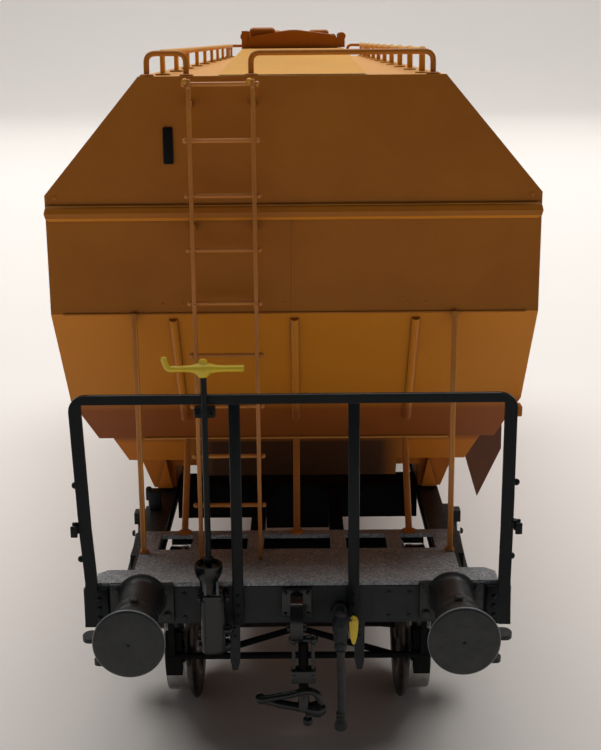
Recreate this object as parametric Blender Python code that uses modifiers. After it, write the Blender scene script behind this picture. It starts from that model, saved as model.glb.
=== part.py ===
"""Two-axle hopper wagon for grain, an H0 (1:87) scale model, in metres.

X runs across the wagon, Y along it and Z up. The end with the brake column faces -Y.
Heights are measured from the rail top, and the origin lies under the middle of the
wagon at the level of the wheel flanges' tips. Everything at an end is modelled once,
with Y counted from the buffer faces towards the middle, and set at both ends.
"""

import math

import bmesh
import bpy
from mathutils import Matrix, Vector

# Whole wagon
LENGTH_OVER_BUFFERS = 0.1175
JOINT_GAP = 0.00005
CUT_OVERRUN = 0.001
EMBED = 0.00015
ROUND_SEGMENTS = 24
SMALL_SEGMENTS = 12
ARC_STEPS = 6
JOINING_SCALE = 1000
WELD_DISTANCE = 0.000005
FLAT_DEGREES = 0.5
SMOOTH_DEGREES = 35

# Hopper body section
BODY_HALF_WIDTH = 0.016
ROOF_HALF_WIDTH = 0.0097
ROOF_HEIGHT = 0.0449
SHOULDER_SHARE = 0.513
SIDE_FOLD_DROP = 0.0071
SIDE_STEP = 0.00075
FLANGE_LIP = 0.0003
HOPPER_FOOT_HALF_WIDTH = 0.01135
UNDERSIDE_HEIGHT = 0.0145

# Hopper body ends, with drops counted from the end panel's foot
END_PANEL_SETBACK = 0.0124
PANEL_FOOT_HEIGHT = 0.0297
END_SHEET_DROP = 0.0110
END_SHEET_RUN = 0.0080
END_SHEET_THICKNESS = 0.0006
END_FLANGE_THICKNESS = 0.0005
BAND_SHARE = 0.853
BAND_RADIUS = 0.00055
BAND_SINK = 0.00035
RIB_RADIUS = 0.0003
RIB_SPACING = 0.0080
RIB_DROP = 0.0091
RIB_TOP_DROP = 0.0004
CORNER_VOID_X = 0.0076
CORNER_VOID_HEIGHT = 0.0162
CORNER_VOID_MARGIN = 0.0012
GUSSET_INNER_X = 0.0098
GUSSET_TOP_X = 0.0103
GUSSET_OUTER_X = 0.0110
GUSSET_RISE = 0.0023
GUSSET_THICKNESS = 0.0007

# Outlet hoppers
OUTLET_SETBACK = 0.0450
CONE_TOP_SETBACK = 0.0355
CONE_GAP = 0.0012
CONE_TOP_HALF_WIDTH = 0.0092
CONE_FOOT_HALF_WIDTH = 0.0062
CONE_FOOT_HALF_LENGTH = 0.0030
CONE_FOOT_HEIGHT = 0.0060
GATE_HEIGHT = 0.0010
GATE_HALF_WIDTH = 0.0070
GATE_HALF_LENGTH = 0.0036
GATE_SHAFT_RADIUS = 0.0004
GATE_SHAFT_HALF_LENGTH = 0.0118

# Roof
COAMING_HALF_WIDTH = 0.0047
COAMING_TOP_HALF_WIDTH = 0.0036
COAMING_HEIGHT = 0.0015
COAMING_SETBACK = 0.0130
COAMING_RAMP = 0.0110
HATCH_COUNT = 2
HATCH_HALF_WIDTH = 0.0033
HATCH_HEIGHT = 0.0011
HATCH_RIDGE = 0.0004
HATCH_SETBACK = 0.0260
HATCH_GAP = 0.0030
HINGE_WIDTH = 0.0004
HINGE_HEIGHT = 0.0018
HINGE_LENGTH = 0.0030
ROOF_RAIL_RADIUS = 0.00022
ROOF_RAIL_HEIGHT = 0.0016
ROOF_RAIL_X = 0.0084
ROOF_RAIL_SETBACK = 0.0150
ROOF_RAIL_POST_SPACING = 0.0094
ROOF_HOOP_SETBACK = 0.0130
ROOF_HOOP_CORNER = 0.0006
ROOF_HOOP_LEFT_OUT = 0.0092
ROOF_HOOP_LEFT_IN = 0.0067
ROOF_HOOP_RIGHT_IN = 0.0026
ROOF_HOOP_RIGHT_OUT = 0.0089

# Underframe
DECK_TOP_HEIGHT = 0.0130
DECK_THICKNESS = 0.0003
BUFFER_LENGTH = 0.0071
HEADSTOCK_HALF_WIDTH = 0.0131
HEADSTOCK_FOOT_HEIGHT = 0.0101
HEADSTOCK_THICKNESS = 0.0010
HEADSTOCK_CHAMFER = 0.0006
SILL_INNER_X = 0.0096
SILL_OUTER_X = 0.0111
SILL_DEPTH = 0.0026
SILL_WEB = 0.0006
SILL_FLANGE = 0.0004
SILL_FOOT_WIDTH = 0.0012
CENTRE_SILL_INNER_X = 0.0024
CENTRE_SILL_WIDTH = 0.0010
CENTRE_SILL_DEPTH = 0.0013
DECK_HALF_WIDTH = 0.0108
DECK_WING_LENGTH = 0.0021
DECK_LENGTH = 0.0091
DECK_PLATE_LENGTH = 0.0056
DECK_OPENING_LENGTH = 0.0027
DECK_OPENING_EDGES = (0.00965, 0.0073, 0.0063, 0.00345, 0.00235)
CROSS_BEAM_SETBACK = 0.0270
CROSS_BEAM_LENGTH = 0.0030
CROSS_BEAM_FOOT_HEIGHT = 0.0099
CROSS_BEAM_CENTRE_HALF_WIDTH = 0.0025
CROSS_BEAM_CENTRE_DROP = 0.0009

# Corner steps and hangers under the headstock
STEP_OUTER_X = 0.01445
STEP_INNER_X = 0.0112
STEP_LENGTH = 0.0018
STEP_CORNER = 0.0006
STEP_THICKNESS = 0.0003
STEP_HEIGHT = 0.0084
LOW_STEP_HEIGHT = 0.0066
LOW_STEP_OUTER_X = 0.0138
STEP_STRAP_WIDTH = 0.0004
STEP_STRAP_INSET = 0.0002
HANGER_X = 0.0048
HANGER_WIDTH = 0.0005
HANGER_LENGTH = 0.0008
HANGER_FOOT_HEIGHT = 0.0060

# Buffers
BUFFER_SPACING = 0.02012
BUFFER_HEIGHT = 0.01207
BUFFER_HEAD_RADIUS = 0.0022
BUFFER_HEAD_THICKNESS = 0.0003
BUFFER_HEAD_CROWN = 0.0001
BUFFER_SHANK_RADIUS = 0.0009
BUFFER_SLEEVE_RADIUS = 0.00135
BUFFER_SLEEVE_LENGTH = 0.0024
BUFFER_COLLAR_RADIUS = 0.00165
BUFFER_COLLAR_LENGTH = 0.0026
BUFFER_PLATE_HALF_WIDTH = 0.0021
BUFFER_PLATE_THICKNESS = 0.0004
BUFFER_DIMPLE_RADIUS = 0.00015
BUFFER_DIMPLE_DEPTH = 0.00015

# Draw hook and screw coupling
HOOK_THICKNESS = 0.0008
HOOK_REACH = 0.0042
HOOK_HEIGHT = 0.0116
HOOK_SHANK_HALF_HEIGHT = 0.0007
HOOK_NOSE_HALF_HEIGHT = 0.0013
HOOK_THROAT_SHARE = 0.33
HOOK_TIP_SHARE = 0.7
HOOK_CROWN_SHARE = 1.1
HOOK_PLATE_HALF_WIDTH = 0.0010
HOOK_PLATE_THICKNESS = 0.0003
COUPLING_X = 0.0004
COUPLING_SETBACK = 0.0046
LINK_RADIUS = 0.00025
LINK_HALF_WIDTH = 0.0006
COUPLING_SCREW_RADIUS = 0.0003
COUPLING_NUT_HEIGHT = 0.00765
COUPLING_NUT_HALF_WIDTH = 0.00095
COUPLING_NUT_HALF_LENGTH = 0.0004
COUPLING_NUT_HALF_HEIGHT = 0.0005
SHACKLE_HEIGHT = 0.0058
SHACKLE_RADIUS = 0.0003
SHACKLE_LEFT_X = 0.0025
SHACKLE_RIGHT_X = 0.0017

# Brake hose and cock
HOSE_X = 0.0028
HOSE_RADIUS = 0.00025
HOSE_FOOT_HEIGHT = 0.0036
HOSE_REACH = 0.0022
HOSE_END_RADIUS = 0.0004
HOSE_END_LENGTH = 0.0005
COCK_RADIUS = 0.00047
COCK_FOOT_HEIGHT = 0.0093
COCK_TOP_HEIGHT = 0.0118
COCK_STUB_HEIGHT = 0.0110
COCK_STUB_RADIUS = 0.00035
COCK_HANDLE_HEIGHT = 0.0115
COCK_HANDLE_LENGTH = 0.0019
COCK_HANDLE_WIDTH = 0.0006
COCK_HANDLE_THICKNESS = 0.0003
COCK_HANDLE_SHOULDER = 0.0005

# End rail
RAIL_SETBACK = 0.0066
RAIL_HALF_WIDTH = 0.0139
RAIL_TOP_HEIGHT = 0.0257
RAIL_BAR_WIDTH = 0.00078
RAIL_BAR_THICKNESS = 0.0004
RAIL_CORNER_RADIUS = 0.0010
RAIL_POST_LEFT_X = 0.0038
RAIL_POST_RIGHT_X = 0.0037
LAMP_BRACKET_HEIGHT = 0.0170
LAMP_BRACKET_REACH = 0.0006
LAMP_BRACKET_DEPTH = 0.0010

# Brake column and crank
COLUMN_X = 0.00585
COLUMN_RADIUS = 0.00028
CRANK_RISE = 0.0016
CRANK_LENGTH = 0.0050
CRANK_WIDTH = 0.0008
CRANK_END_WIDTH = 0.0005
CRANK_THICKNESS = 0.00035
CRANK_HUB_RADIUS = 0.0006
CRANK_HUB_HEIGHT = 0.0010
CRANK_GRIP_HEIGHT = 0.0012
CRANK_GRIP_RADIUS = 0.00024
COLUMN_BRACKET_HALF_WIDTH = 0.00072
COLUMN_BRACKET_HEIGHT = 0.0007
GEARBOX_HALF_WIDTH = 0.0009
GEARBOX_TOP_HEIGHT = 0.0139
GEARBOX_FOOT_HEIGHT = 0.0083
GEARBOX_ROUNDING = 0.0004

# End struts and ladders
STRUT_RADIUS = 0.00035
STRUT_FOOT_SETBACK = 0.0158
FLAT_STRUT_X = 0.0105
FLAT_STRUT_WIDTH = 0.0006
FLAT_STRUT_THICKNESS = 0.0003
LADDER_SETBACK = 0.0108
LADDER_LEFT_X = 0.00675
LADDER_RIGHT_X = 0.0023
LADDER_RAIL_WIDTH = 0.00033
LADDER_RAIL_DEPTH = 0.00045
LADDER_RUNG_RADIUS = 0.00017
LADDER_RUNG_PITCH = 0.00344
LADDER_TOP_DROP = 0.00045
LADDER_TOP_OVERRUN = 0.0003
LADDER_RUNG_STUB = 0.0003

# Side bracket plates
SIDE_PLATE_SETBACK = 0.0250
SIDE_PLATE_THICKNESS = 0.0005
SIDE_PLATE_APEX_INSET = 0.0020
SIDE_PLATE_APEX_DROP = 0.0102
SIDE_PLATE_EDGE_INSET = 0.00015
SIDE_PLATE_SHOULDER_DROP = 0.0061

# Wheelsets
AXLE_SETBACK = 0.0185
FLANGE_DEPTH = 0.00065
WHEEL_TREAD_RADIUS = 0.0053
WHEEL_WIDTH = 0.0023
WHEEL_FLANGE_WIDTH = 0.0008
FLANGE_TIP_SHARE = 0.33
FLANGE_ROOT_SHARE = 0.67
FLANGE_ROUND_SHARE = 0.25
WHEEL_BACK_TO_BACK = 0.0144
WHEEL_RIM_THICKNESS = 0.0011
WHEEL_WEB_RECESS = 0.0005
WHEEL_HUB_RADIUS = 0.0017
AXLE_RADIUS = 0.0009
AXLE_JOURNAL_RADIUS = 0.0005
AXLE_HALF_LENGTH = 0.0122

# Axleguards, axleboxes and springs
GUARD_THICKNESS = 0.0005
GUARD_TOP_DROP = 0.0004
GUARD_TOP_HALF_LENGTH = 0.0050
GUARD_SHOULDER_DROP = 0.0018
GUARD_LEG_HALF_LENGTH = 0.0021
GUARD_LEG_TOP_HEIGHT = 0.0066
GUARD_FOOT_HEIGHT = 0.0034
GUARD_WINDOW_START = 0.0012
GUARD_WINDOW_EDGE = 0.0006
AXLEBOX_HALF_LENGTH = 0.0016
AXLEBOX_HALF_HEIGHT = 0.0016
AXLEBOX_DEPTH = 0.0016
AXLEBOX_COVER_RADIUS = 0.0011
AXLEBOX_COVER_DEPTH = 0.0003
JOURNAL_CLEARANCE = 0.0001
SPRING_INSET = 0.0002
SPRING_WIDTH = 0.0009
SPRING_HALF_LENGTH = 0.0063
SPRING_HEIGHT = 0.0087
SPRING_RISE = 0.0008
SPRING_LEAF_COUNT = 4
SPRING_LEAF_THICKNESS = 0.00035
SPRING_LEAF_STEP_SHARE = 0.2
BUCKLE_HALF_LENGTH = 0.0006
BUCKLE_MARGIN = 0.0001
SHACKLE_PIN_RADIUS = 0.00025
SPRING_BRACKET_LENGTH = 0.0008
SPRING_BRACKET_HEIGHT = 0.0009
SPRING_BRACKET_RISE = 0.0011

# Brake gear in front of each axle
BRAKE_BEAM_SETBACK = 0.0120
BRAKE_BEAM_RADIUS = 0.00025
BRAKE_BEAM_HALF_LENGTH = 0.0090
BRAKE_APEX_SETBACK = 0.0164
BRAKE_APEX_HALF_SIZE = 0.0004
BRAKE_STAY_X = 0.0067
BRAKE_HANGER_X = 0.0088
BRAKE_HANGER_WIDTH = 0.0004
SHOE_CLEARANCE = 0.0003
SHOE_THICKNESS = 0.0008
SHOE_INNER_X = 0.00815
SHOE_OUTER_X = 0.0093
SHOE_HALF_ANGLE = 15

# Values that follow from the ones above
HALF_LENGTH = LENGTH_OVER_BUFFERS / 2
HALF_BODY = HALF_LENGTH - END_PANEL_SETBACK
END_SHEET_FOOT_HEIGHT = PANEL_FOOT_HEIGHT - END_SHEET_DROP
END_SHEET_FOOT_SETBACK = END_PANEL_SETBACK + END_SHEET_RUN
SIDE_FOLD_HEIGHT = PANEL_FOOT_HEIGHT - SIDE_FOLD_DROP
SHOULDER_HEIGHT = PANEL_FOOT_HEIGHT + (ROOF_HEIGHT - PANEL_FOOT_HEIGHT) * SHOULDER_SHARE
BAND_HEIGHT = PANEL_FOOT_HEIGHT + (SHOULDER_HEIGHT - PANEL_FOOT_HEIGHT) * BAND_SHARE
SILL_TOP_HEIGHT = DECK_TOP_HEIGHT - DECK_THICKNESS - JOINT_GAP
BODY_FOOT_HEIGHT = SILL_TOP_HEIGHT + JOINT_GAP
SHEET_SLOPE = END_SHEET_RUN / END_SHEET_DROP
BODY_FOOT_RUN = (PANEL_FOOT_HEIGHT - BODY_FOOT_HEIGHT) * SHEET_SLOPE
BODY_FOOT_SETBACK = END_PANEL_SETBACK + END_SHEET_THICKNESS + BODY_FOOT_RUN
CORNER_VOID_SETBACK = BODY_FOOT_SETBACK + CORNER_VOID_MARGIN
HEADSTOCK_BACK = BUFFER_LENGTH + HEADSTOCK_THICKNESS
CRANK_HEIGHT = RAIL_TOP_HEIGHT + CRANK_RISE
LADDER_TOP_RUNG_HEIGHT = ROOF_HEIGHT - LADDER_TOP_DROP
GUARD_INNER_X = SILL_OUTER_X + JOINT_GAP
GUARD_OUTER_X = GUARD_INNER_X + GUARD_THICKNESS


# Scene, collections and placing

def clear_scene():
    for item in list(bpy.data.objects):
        bpy.data.objects.remove(item, do_unlink=True)


def make_collection(name):
    collection = bpy.data.collections.new(name)
    bpy.context.scene.collection.children.link(collection)
    return collection


clear_scene()
WAGON = make_collection("grain_hopper_wagon")


def make_datum(name, y, height, turn, parent=None):
    """An empty that a group of pieces is placed by."""
    datum = bpy.data.objects.new(name, None)
    WAGON.objects.link(datum)
    datum.location = (0, y, height)
    datum.rotation_euler = (0, 0, turn)
    datum.parent = parent
    return datum


def make_material(name, color, roughness, metallic):
    material = bpy.data.materials.new(name)
    material.use_nodes = True
    shader = material.node_tree.nodes["Principled BSDF"]
    shader.inputs["Base Color"].default_value = (*color, 1)
    shader.inputs["Roughness"].default_value = roughness
    shader.inputs["Metallic"].default_value = metallic
    return material


ORANGE = make_material("body_orange", (0.42, 0.16, 0.03), 0.45, 0)
YELLOW = make_material("roof_yellow", (0.70, 0.38, 0.06), 0.45, 0)
FRAME_GREY = make_material("frame_dark_grey", (0.035, 0.04, 0.045), 0.5, 0)
DECK_GREY = make_material("deck_grey_brown", (0.12, 0.10, 0.085), 0.8, 0)
HANDLE_YELLOW = make_material("handle_yellow", (0.62, 0.50, 0.08), 0.45, 0)
BRACKET_BROWN = make_material("bracket_brown", (0.08, 0.03, 0.02), 0.6, 0)
WHEEL_METAL = make_material("wheel_metal", (0.22, 0.21, 0.20), 0.35, 1)


# Shapes

def wrap(mesh):
    """A mesh as an object that is not yet in the wagon."""
    return bpy.data.objects.new("piece", mesh)


def from_bmesh(shape):
    mesh = bpy.data.meshes.new("piece")
    shape.to_mesh(mesh)
    shape.free()
    return wrap(mesh)


def block(x, y, z):
    """A box between pairs of coordinates."""
    shape = bmesh.new()
    bmesh.ops.create_cube(shape, size=1)
    size = Vector((x[1] - x[0], y[1] - y[0], z[1] - z[0]))
    middle = Vector((x[0] + x[1], y[0] + y[1], z[0] + z[1])) / 2
    bmesh.ops.scale(shape, vec=size, verts=shape.verts)
    bmesh.ops.translate(shape, vec=middle, verts=shape.verts)
    return from_bmesh(shape)


def frustum(foot, top, heights, lean=0):
    """A tapered box from one half size to another, for hoppers and covers."""
    shape = bmesh.new()
    bmesh.ops.create_cube(shape, size=2)
    for vertex in shape.verts:
        level = 1 if vertex.co.z > 0 else 0
        half = (foot, top)[level]
        x = vertex.co.x * half[0]
        y = vertex.co.y * half[1] + lean * level
        vertex.co = Vector((x, y, heights[level]))
    return from_bmesh(shape)


def settle(source, weld=False):
    """The evaluated mesh of an object, as a new object in its place."""
    bpy.context.scene.collection.objects.link(source)
    bpy.context.view_layer.update()
    graph = bpy.context.evaluated_depsgraph_get()
    mesh = bpy.data.meshes.new_from_object(source.evaluated_get(graph))
    if weld:
        shape = bmesh.new()
        shape.from_mesh(mesh)
        bmesh.ops.remove_doubles(shape, verts=shape.verts, dist=WELD_DISTANCE)
        flat = math.radians(FLAT_DEGREES)
        bmesh.ops.dissolve_limit(shape, angle_limit=flat, verts=shape.verts, edges=shape.edges)
        bmesh.ops.recalc_face_normals(shape, faces=shape.faces)
        shape.to_mesh(mesh)
        shape.free()
    settled = wrap(mesh)
    settled.matrix_world = source.matrix_world
    bpy.data.objects.remove(source, do_unlink=True)
    return settled


def bake_place(piece, matrix):
    """Moves a piece's mesh, for a piece that is about to be joined."""
    piece.data.transform(matrix)
    return piece


AXES = {
    "x": Matrix(((0, 0, 1), (1, 0, 0), (0, 1, 0))).to_4x4(),
    "y": Matrix(((1, 0, 0), (0, 0, 1), (0, 1, 0))).to_4x4(),
    "z": Matrix.Identity(4),
}


def plate(points, span, axis="z"):
    """A flat outline as thick as its span along an axis.

    The outline's two coordinates are the other two axes in X, Y, Z order.
    """
    curve = bpy.data.curves.new("outline", "CURVE")
    curve.dimensions = "2D"
    curve.fill_mode = "BOTH"
    curve.extrude = abs(span[1] - span[0]) / 2
    spline = curve.splines.new("POLY")
    spline.points.add(len(points) - 1)
    for point, (across, along) in zip(spline.points, points):
        point.co = (across, along, 0, 1)
    spline.use_cyclic_u = True
    flat = settle(bpy.data.objects.new("outline", curve), weld=True)
    lift = Matrix.Translation((0, 0, (span[0] + span[1]) / 2))
    flat.data.transform(AXES[axis] @ lift)
    if axis == "y":
        flat.data.flip_normals()
    return flat


def rod(points, radius, resolution=2, swell=None, closed=False):
    """A round bar along straight runs between points, as wide at each as its swell."""
    curve = bpy.data.curves.new("rod", "CURVE")
    curve.dimensions = "3D"
    curve.bevel_depth = radius
    curve.bevel_resolution = resolution
    curve.use_fill_caps = True
    spline = curve.splines.new("POLY")
    spline.points.add(len(points) - 1)
    for index, place in enumerate(points):
        spline.points[index].co = (*place, 1)
        spline.points[index].radius = swell[index] if swell else 1
    spline.use_cyclic_u = closed
    return settle(bpy.data.objects.new("rod", curve), weld=True)


def turned(profile, segments=ROUND_SEGMENTS):
    """A profile of (radius, height) pairs turned about Z, from its top down."""
    shape = bmesh.new()
    corners = [shape.verts.new((radius, 0, height)) for radius, height in profile]
    for low, high in zip(corners, corners[1:]):
        shape.edges.new((low, high))
    piece = from_bmesh(shape)
    screw = piece.modifiers.new("turn", "SCREW")
    screw.axis = "Z"
    screw.angle = math.tau
    screw.steps = segments
    screw.render_steps = segments
    screw.use_merge_vertices = True
    screw.merge_threshold = WELD_DISTANCE
    return settle(piece, weld=True)


def combine(pieces, operation="UNION"):
    """Joins, cuts or intersects the first piece with the others.

    The solver's tolerances suit large shapes, so the pieces are enlarged while they are joined.
    """
    for piece in pieces:
        piece.data.transform(Matrix.Scale(JOINING_SCALE, 4))
    body = pieces[0]
    tools = pieces[1:]
    for tool in tools:
        bpy.context.scene.collection.objects.link(tool)
        modifier = body.modifiers.new("combine", "BOOLEAN")
        modifier.operation = operation
        modifier.solver = "EXACT"
        modifier.object = tool
    joined = settle(body)
    joined.data.transform(Matrix.Scale(1 / JOINING_SCALE, 4))
    for tool in tools:
        bpy.data.objects.remove(tool, do_unlink=True)
    return joined


def mirrored(make, *values):
    """The same piece on the left and on the right."""
    return [make(side, *values) for side in (-1, 1)]


def side_span(side, inner, outer):
    """A span across the wagon, on the left for side -1."""
    return sorted((side * inner, side * outer))


def arch(low, high, foot, top, corner):
    """Points up one leg, over two rounded corners and down the other leg."""
    points = [(low, foot)]
    for index in range(ARC_STEPS + 1):
        angle = math.pi / 2 * index / ARC_STEPS
        points.append((low + corner - corner * math.cos(angle), top - corner + corner * math.sin(angle)))
    return points + [(low + high - x, z) for x, z in reversed(points)]


def add(name, piece, material, parent, smooth=False):
    """Puts a finished piece in the wagon."""
    node = bpy.data.objects.new(name, piece.data)
    node.data.name = name
    node.data.materials.clear()
    node.data.materials.append(material)
    if smooth:
        node.data.shade_smooth()
        node.data.set_sharp_from_angle(angle=math.radians(SMOOTH_DEGREES))
    node.parent = parent
    WAGON.objects.link(node)
    bpy.data.objects.remove(piece, do_unlink=True)
    return node


def add_copy(name, node, parent):
    """The same piece again, under another datum."""
    copy = bpy.data.objects.new(name, node.data)
    copy.parent = parent
    WAGON.objects.link(copy)
    return copy


# Hopper body

def body_section():
    """The body from the end, as wide as the flanges at the sides of its end sheets."""
    left = [
        (-ROOF_HALF_WIDTH, ROOF_HEIGHT),
        (-BODY_HALF_WIDTH, SHOULDER_HEIGHT),
        (-BODY_HALF_WIDTH, SIDE_FOLD_HEIGHT - FLANGE_LIP),
        (-HOPPER_FOOT_HALF_WIDTH - SIDE_STEP, BODY_FOOT_HEIGHT),
    ]
    right = [(-x, z) for x, z in reversed(left)]
    return left + right


def side_profile():
    """The body from the side, with the end sheets' feet standing out."""
    foot = BODY_FOOT_HEIGHT - CUT_OVERRUN
    sheet_foot = -HALF_BODY + END_SHEET_RUN
    inset = END_SHEET_THICKNESS
    run = (PANEL_FOOT_HEIGHT - foot) * SHEET_SLOPE
    front = [
        (-HALF_BODY, ROOF_HEIGHT + CUT_OVERRUN),
        (-HALF_BODY, PANEL_FOOT_HEIGHT),
        (sheet_foot, END_SHEET_FOOT_HEIGHT),
        (sheet_foot + inset, END_SHEET_FOOT_HEIGHT),
        (-HALF_BODY + inset + run, foot),
    ]
    rear = [(-y, z) for y, z in reversed(front)]
    return front + rear


def side_cut(side):
    """What the lower side is set in by, between the flanges at its two ends."""
    low = BODY_FOOT_HEIGHT - CUT_OVERRUN
    inner = BODY_HALF_WIDTH - SIDE_STEP
    slope = (inner - HOPPER_FOOT_HALF_WIDTH) / (SIDE_FOLD_HEIGHT - BODY_FOOT_HEIGHT)
    outer = BODY_HALF_WIDTH + CUT_OVERRUN
    outline = [
        (side * inner, SIDE_FOLD_HEIGHT),
        (side * outer, SIDE_FOLD_HEIGHT),
        (side * outer, low),
        (side * (HOPPER_FOOT_HALF_WIDTH - CUT_OVERRUN * slope), low),
    ]
    start = -HALF_BODY + END_FLANGE_THICKNESS
    drop = PANEL_FOOT_HEIGHT - low + CUT_OVERRUN
    corners = [(start, PANEL_FOOT_HEIGHT), (start + drop * SHEET_SLOPE, PANEL_FOOT_HEIGHT - drop)]
    corners += [(-y, z) for y, z in reversed(corners)]
    reach = outer + CUT_OVERRUN
    wedge = plate(outline, (-HALF_BODY, HALF_BODY), "y")
    return combine([wedge, plate(corners, (-reach, reach), "x")], "INTERSECT")


def sheet_rib(x):
    """A half-round pressing down the end sheet."""
    start = RIB_TOP_DROP
    top = (x, -HALF_BODY + start * SHEET_SLOPE, PANEL_FOOT_HEIGHT - start)
    foot = (x, -HALF_BODY + RIB_DROP * SHEET_SLOPE, PANEL_FOOT_HEIGHT - RIB_DROP)
    return rod([top, foot], RIB_RADIUS, 3)


def side_band():
    """The half-round band pressed into the body all the way round."""
    x = BODY_HALF_WIDTH - BAND_SINK
    y = HALF_BODY
    z = BAND_HEIGHT
    corners = [(-x, -y, z), (x, -y, z), (x, y, z), (-x, y, z)]
    return rod(corners, BAND_RADIUS, 3, closed=True)


def gusset(side):
    """A small upright triangle on the sill, in front of the body's corner."""
    foot = BODY_FOOT_HEIGHT + EMBED
    outline = [
        (side * GUSSET_INNER_X, foot),
        (side * GUSSET_OUTER_X, foot),
        (side * GUSSET_TOP_X, foot + GUSSET_RISE),
    ]
    back = CORNER_VOID_SETBACK - HALF_LENGTH
    return plate(outline, (back - GUSSET_THICKNESS, back + EMBED), "y")


def body_end_pieces():
    ribs = [sheet_rib(x) for x in (-RIB_SPACING, 0, RIB_SPACING)]
    return ribs + mirrored(gusset)


def underside_cuts():
    """The space between the sills, and the voids behind the end sheets' lower corners."""
    foot = BODY_FOOT_HEIGHT - CUT_OVERRUN
    half = SILL_INNER_X
    cuts = [block((-half, half), (-HALF_LENGTH, HALF_LENGTH), (foot, UNDERSIDE_HEIGHT))]
    for end in (-1, 1):
        ys = sorted((end * (HALF_LENGTH - CORNER_VOID_SETBACK), end * HALF_LENGTH))
        for side in (-1, 1):
            xs = side_span(side, CORNER_VOID_X, BODY_HALF_WIDTH)
            cuts.append(block(xs, ys, (foot, CORNER_VOID_HEIGHT)))
    return cuts


def make_hopper_body(datum):
    reach = BODY_HALF_WIDTH + CUT_OVERRUN
    section = plate(body_section(), (-HALF_BODY - CUT_OVERRUN, HALF_BODY + CUT_OVERRUN), "y")
    body = combine([section, plate(side_profile(), (-reach, reach), "x")], "INTERSECT")
    body = combine([body] + mirrored(side_cut) + underside_cuts(), "DIFFERENCE")
    pieces = [body, side_band()] + body_end_pieces()
    turn = Matrix.Rotation(math.pi, 4, "Z")
    for piece in body_end_pieces():
        pieces.append(bake_place(piece, turn))
    add("hopper_body", combine(pieces), ORANGE, datum)


# Outlet hoppers and their gates

def outlet_hopper():
    """A tapered outlet, steep towards the wagon's end and flatter towards its middle."""
    foot = (CONE_FOOT_HALF_WIDTH, CONE_FOOT_HALF_LENGTH)
    start = CONE_TOP_SETBACK - HALF_LENGTH
    stop = -CONE_GAP / 2
    place = OUTLET_SETBACK - HALF_LENGTH
    top = (CONE_TOP_HALF_WIDTH, (stop - start) / 2)
    lean = (start + stop) / 2 - place
    cone = frustum(foot, top, (CONE_FOOT_HEIGHT, UNDERSIDE_HEIGHT - JOINT_GAP), lean)
    return bake_place(cone, Matrix.Translation((0, place, 0)))


def outlet_gate():
    """A flat slide under the outlet, on the shaft that works it."""
    top = CONE_FOOT_HEIGHT - JOINT_GAP
    foot = top - GATE_HEIGHT
    place = OUTLET_SETBACK - HALF_LENGTH
    ys = (place - GATE_HALF_LENGTH, place + GATE_HALF_LENGTH)
    box = block((-GATE_HALF_WIDTH, GATE_HALF_WIDTH), ys, (foot, top))
    height = (top + foot) / 2
    reach = GATE_SHAFT_HALF_LENGTH
    shaft = rod([(-reach, place, height), (reach, place, height)], GATE_SHAFT_RADIUS)
    return combine([box, shaft])


def make_outlets(datum, turned_datum):
    cone = add("hopper_cone_1", outlet_hopper(), ORANGE, datum)
    add_copy("hopper_cone_2", cone, turned_datum)
    gate = add("outlet_gate_1", outlet_gate(), FRAME_GREY, datum)
    add_copy("outlet_gate_2", gate, turned_datum)


# Roof

def make_coaming(datum):
    end = HALF_LENGTH - COAMING_SETBACK
    foot = ROOF_HEIGHT + JOINT_GAP
    top_half = (COAMING_TOP_HALF_WIDTH, end - COAMING_RAMP)
    coaming = frustum((COAMING_HALF_WIDTH, end), top_half, (foot, foot + COAMING_HEIGHT))
    add("roof_coaming", coaming, YELLOW, datum)


def make_hatches(datum):
    first = HATCH_SETBACK - HALF_LENGTH
    whole = LENGTH_OVER_BUFFERS - HATCH_SETBACK * 2
    length = (whole - HATCH_GAP * (HATCH_COUNT - 1)) / HATCH_COUNT
    foot = ROOF_HEIGHT + COAMING_HEIGHT + JOINT_GAP * 2
    outline = [
        (-HATCH_HALF_WIDTH, foot),
        (HATCH_HALF_WIDTH, foot),
        (HATCH_HALF_WIDTH, foot + HATCH_HEIGHT),
        (0, foot + HATCH_HEIGHT + HATCH_RIDGE),
        (-HATCH_HALF_WIDTH, foot + HATCH_HEIGHT),
    ]
    for number in range(HATCH_COUNT):
        start = first + (length + HATCH_GAP) * number
        lid = plate(outline, (start, start + length), "y")
        hinges = []
        for side in (-1, 1):
            xs = side_span(side, HATCH_HALF_WIDTH - EMBED, HATCH_HALF_WIDTH + HINGE_WIDTH)
            ys = (start + HATCH_GAP, start + HATCH_GAP + HINGE_LENGTH)
            hinges.append(block(xs, ys, (foot, foot + HINGE_HEIGHT)))
        add(f"hatch_cover_{number + 1}", combine([lid] + hinges), YELLOW, datum)


def roof_rail(side):
    x = side * ROOF_RAIL_X
    run = LENGTH_OVER_BUFFERS - ROOF_RAIL_SETBACK * 2
    bays = round(run / ROOF_RAIL_POST_SPACING)
    start = ROOF_RAIL_SETBACK - HALF_LENGTH
    foot = ROOF_HEIGHT + JOINT_GAP
    top = foot + ROOF_RAIL_HEIGHT
    outline = [(x, start, foot), (x, start, top), (x, start + run, top), (x, start + run, foot)]
    posts = []
    for index in range(1, bays):
        y = start + run * index / bays
        posts.append(rod([(x, y, foot), (x, y, top)], ROOF_RAIL_RADIUS, 0))
    return combine([rod(outline, ROOF_RAIL_RADIUS, 0)] + posts)


def make_roof_rails(datum):
    for side, word in ((-1, "left"), (1, "right")):
        add(f"roof_rail_{word}", roof_rail(side), YELLOW, datum)


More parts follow.
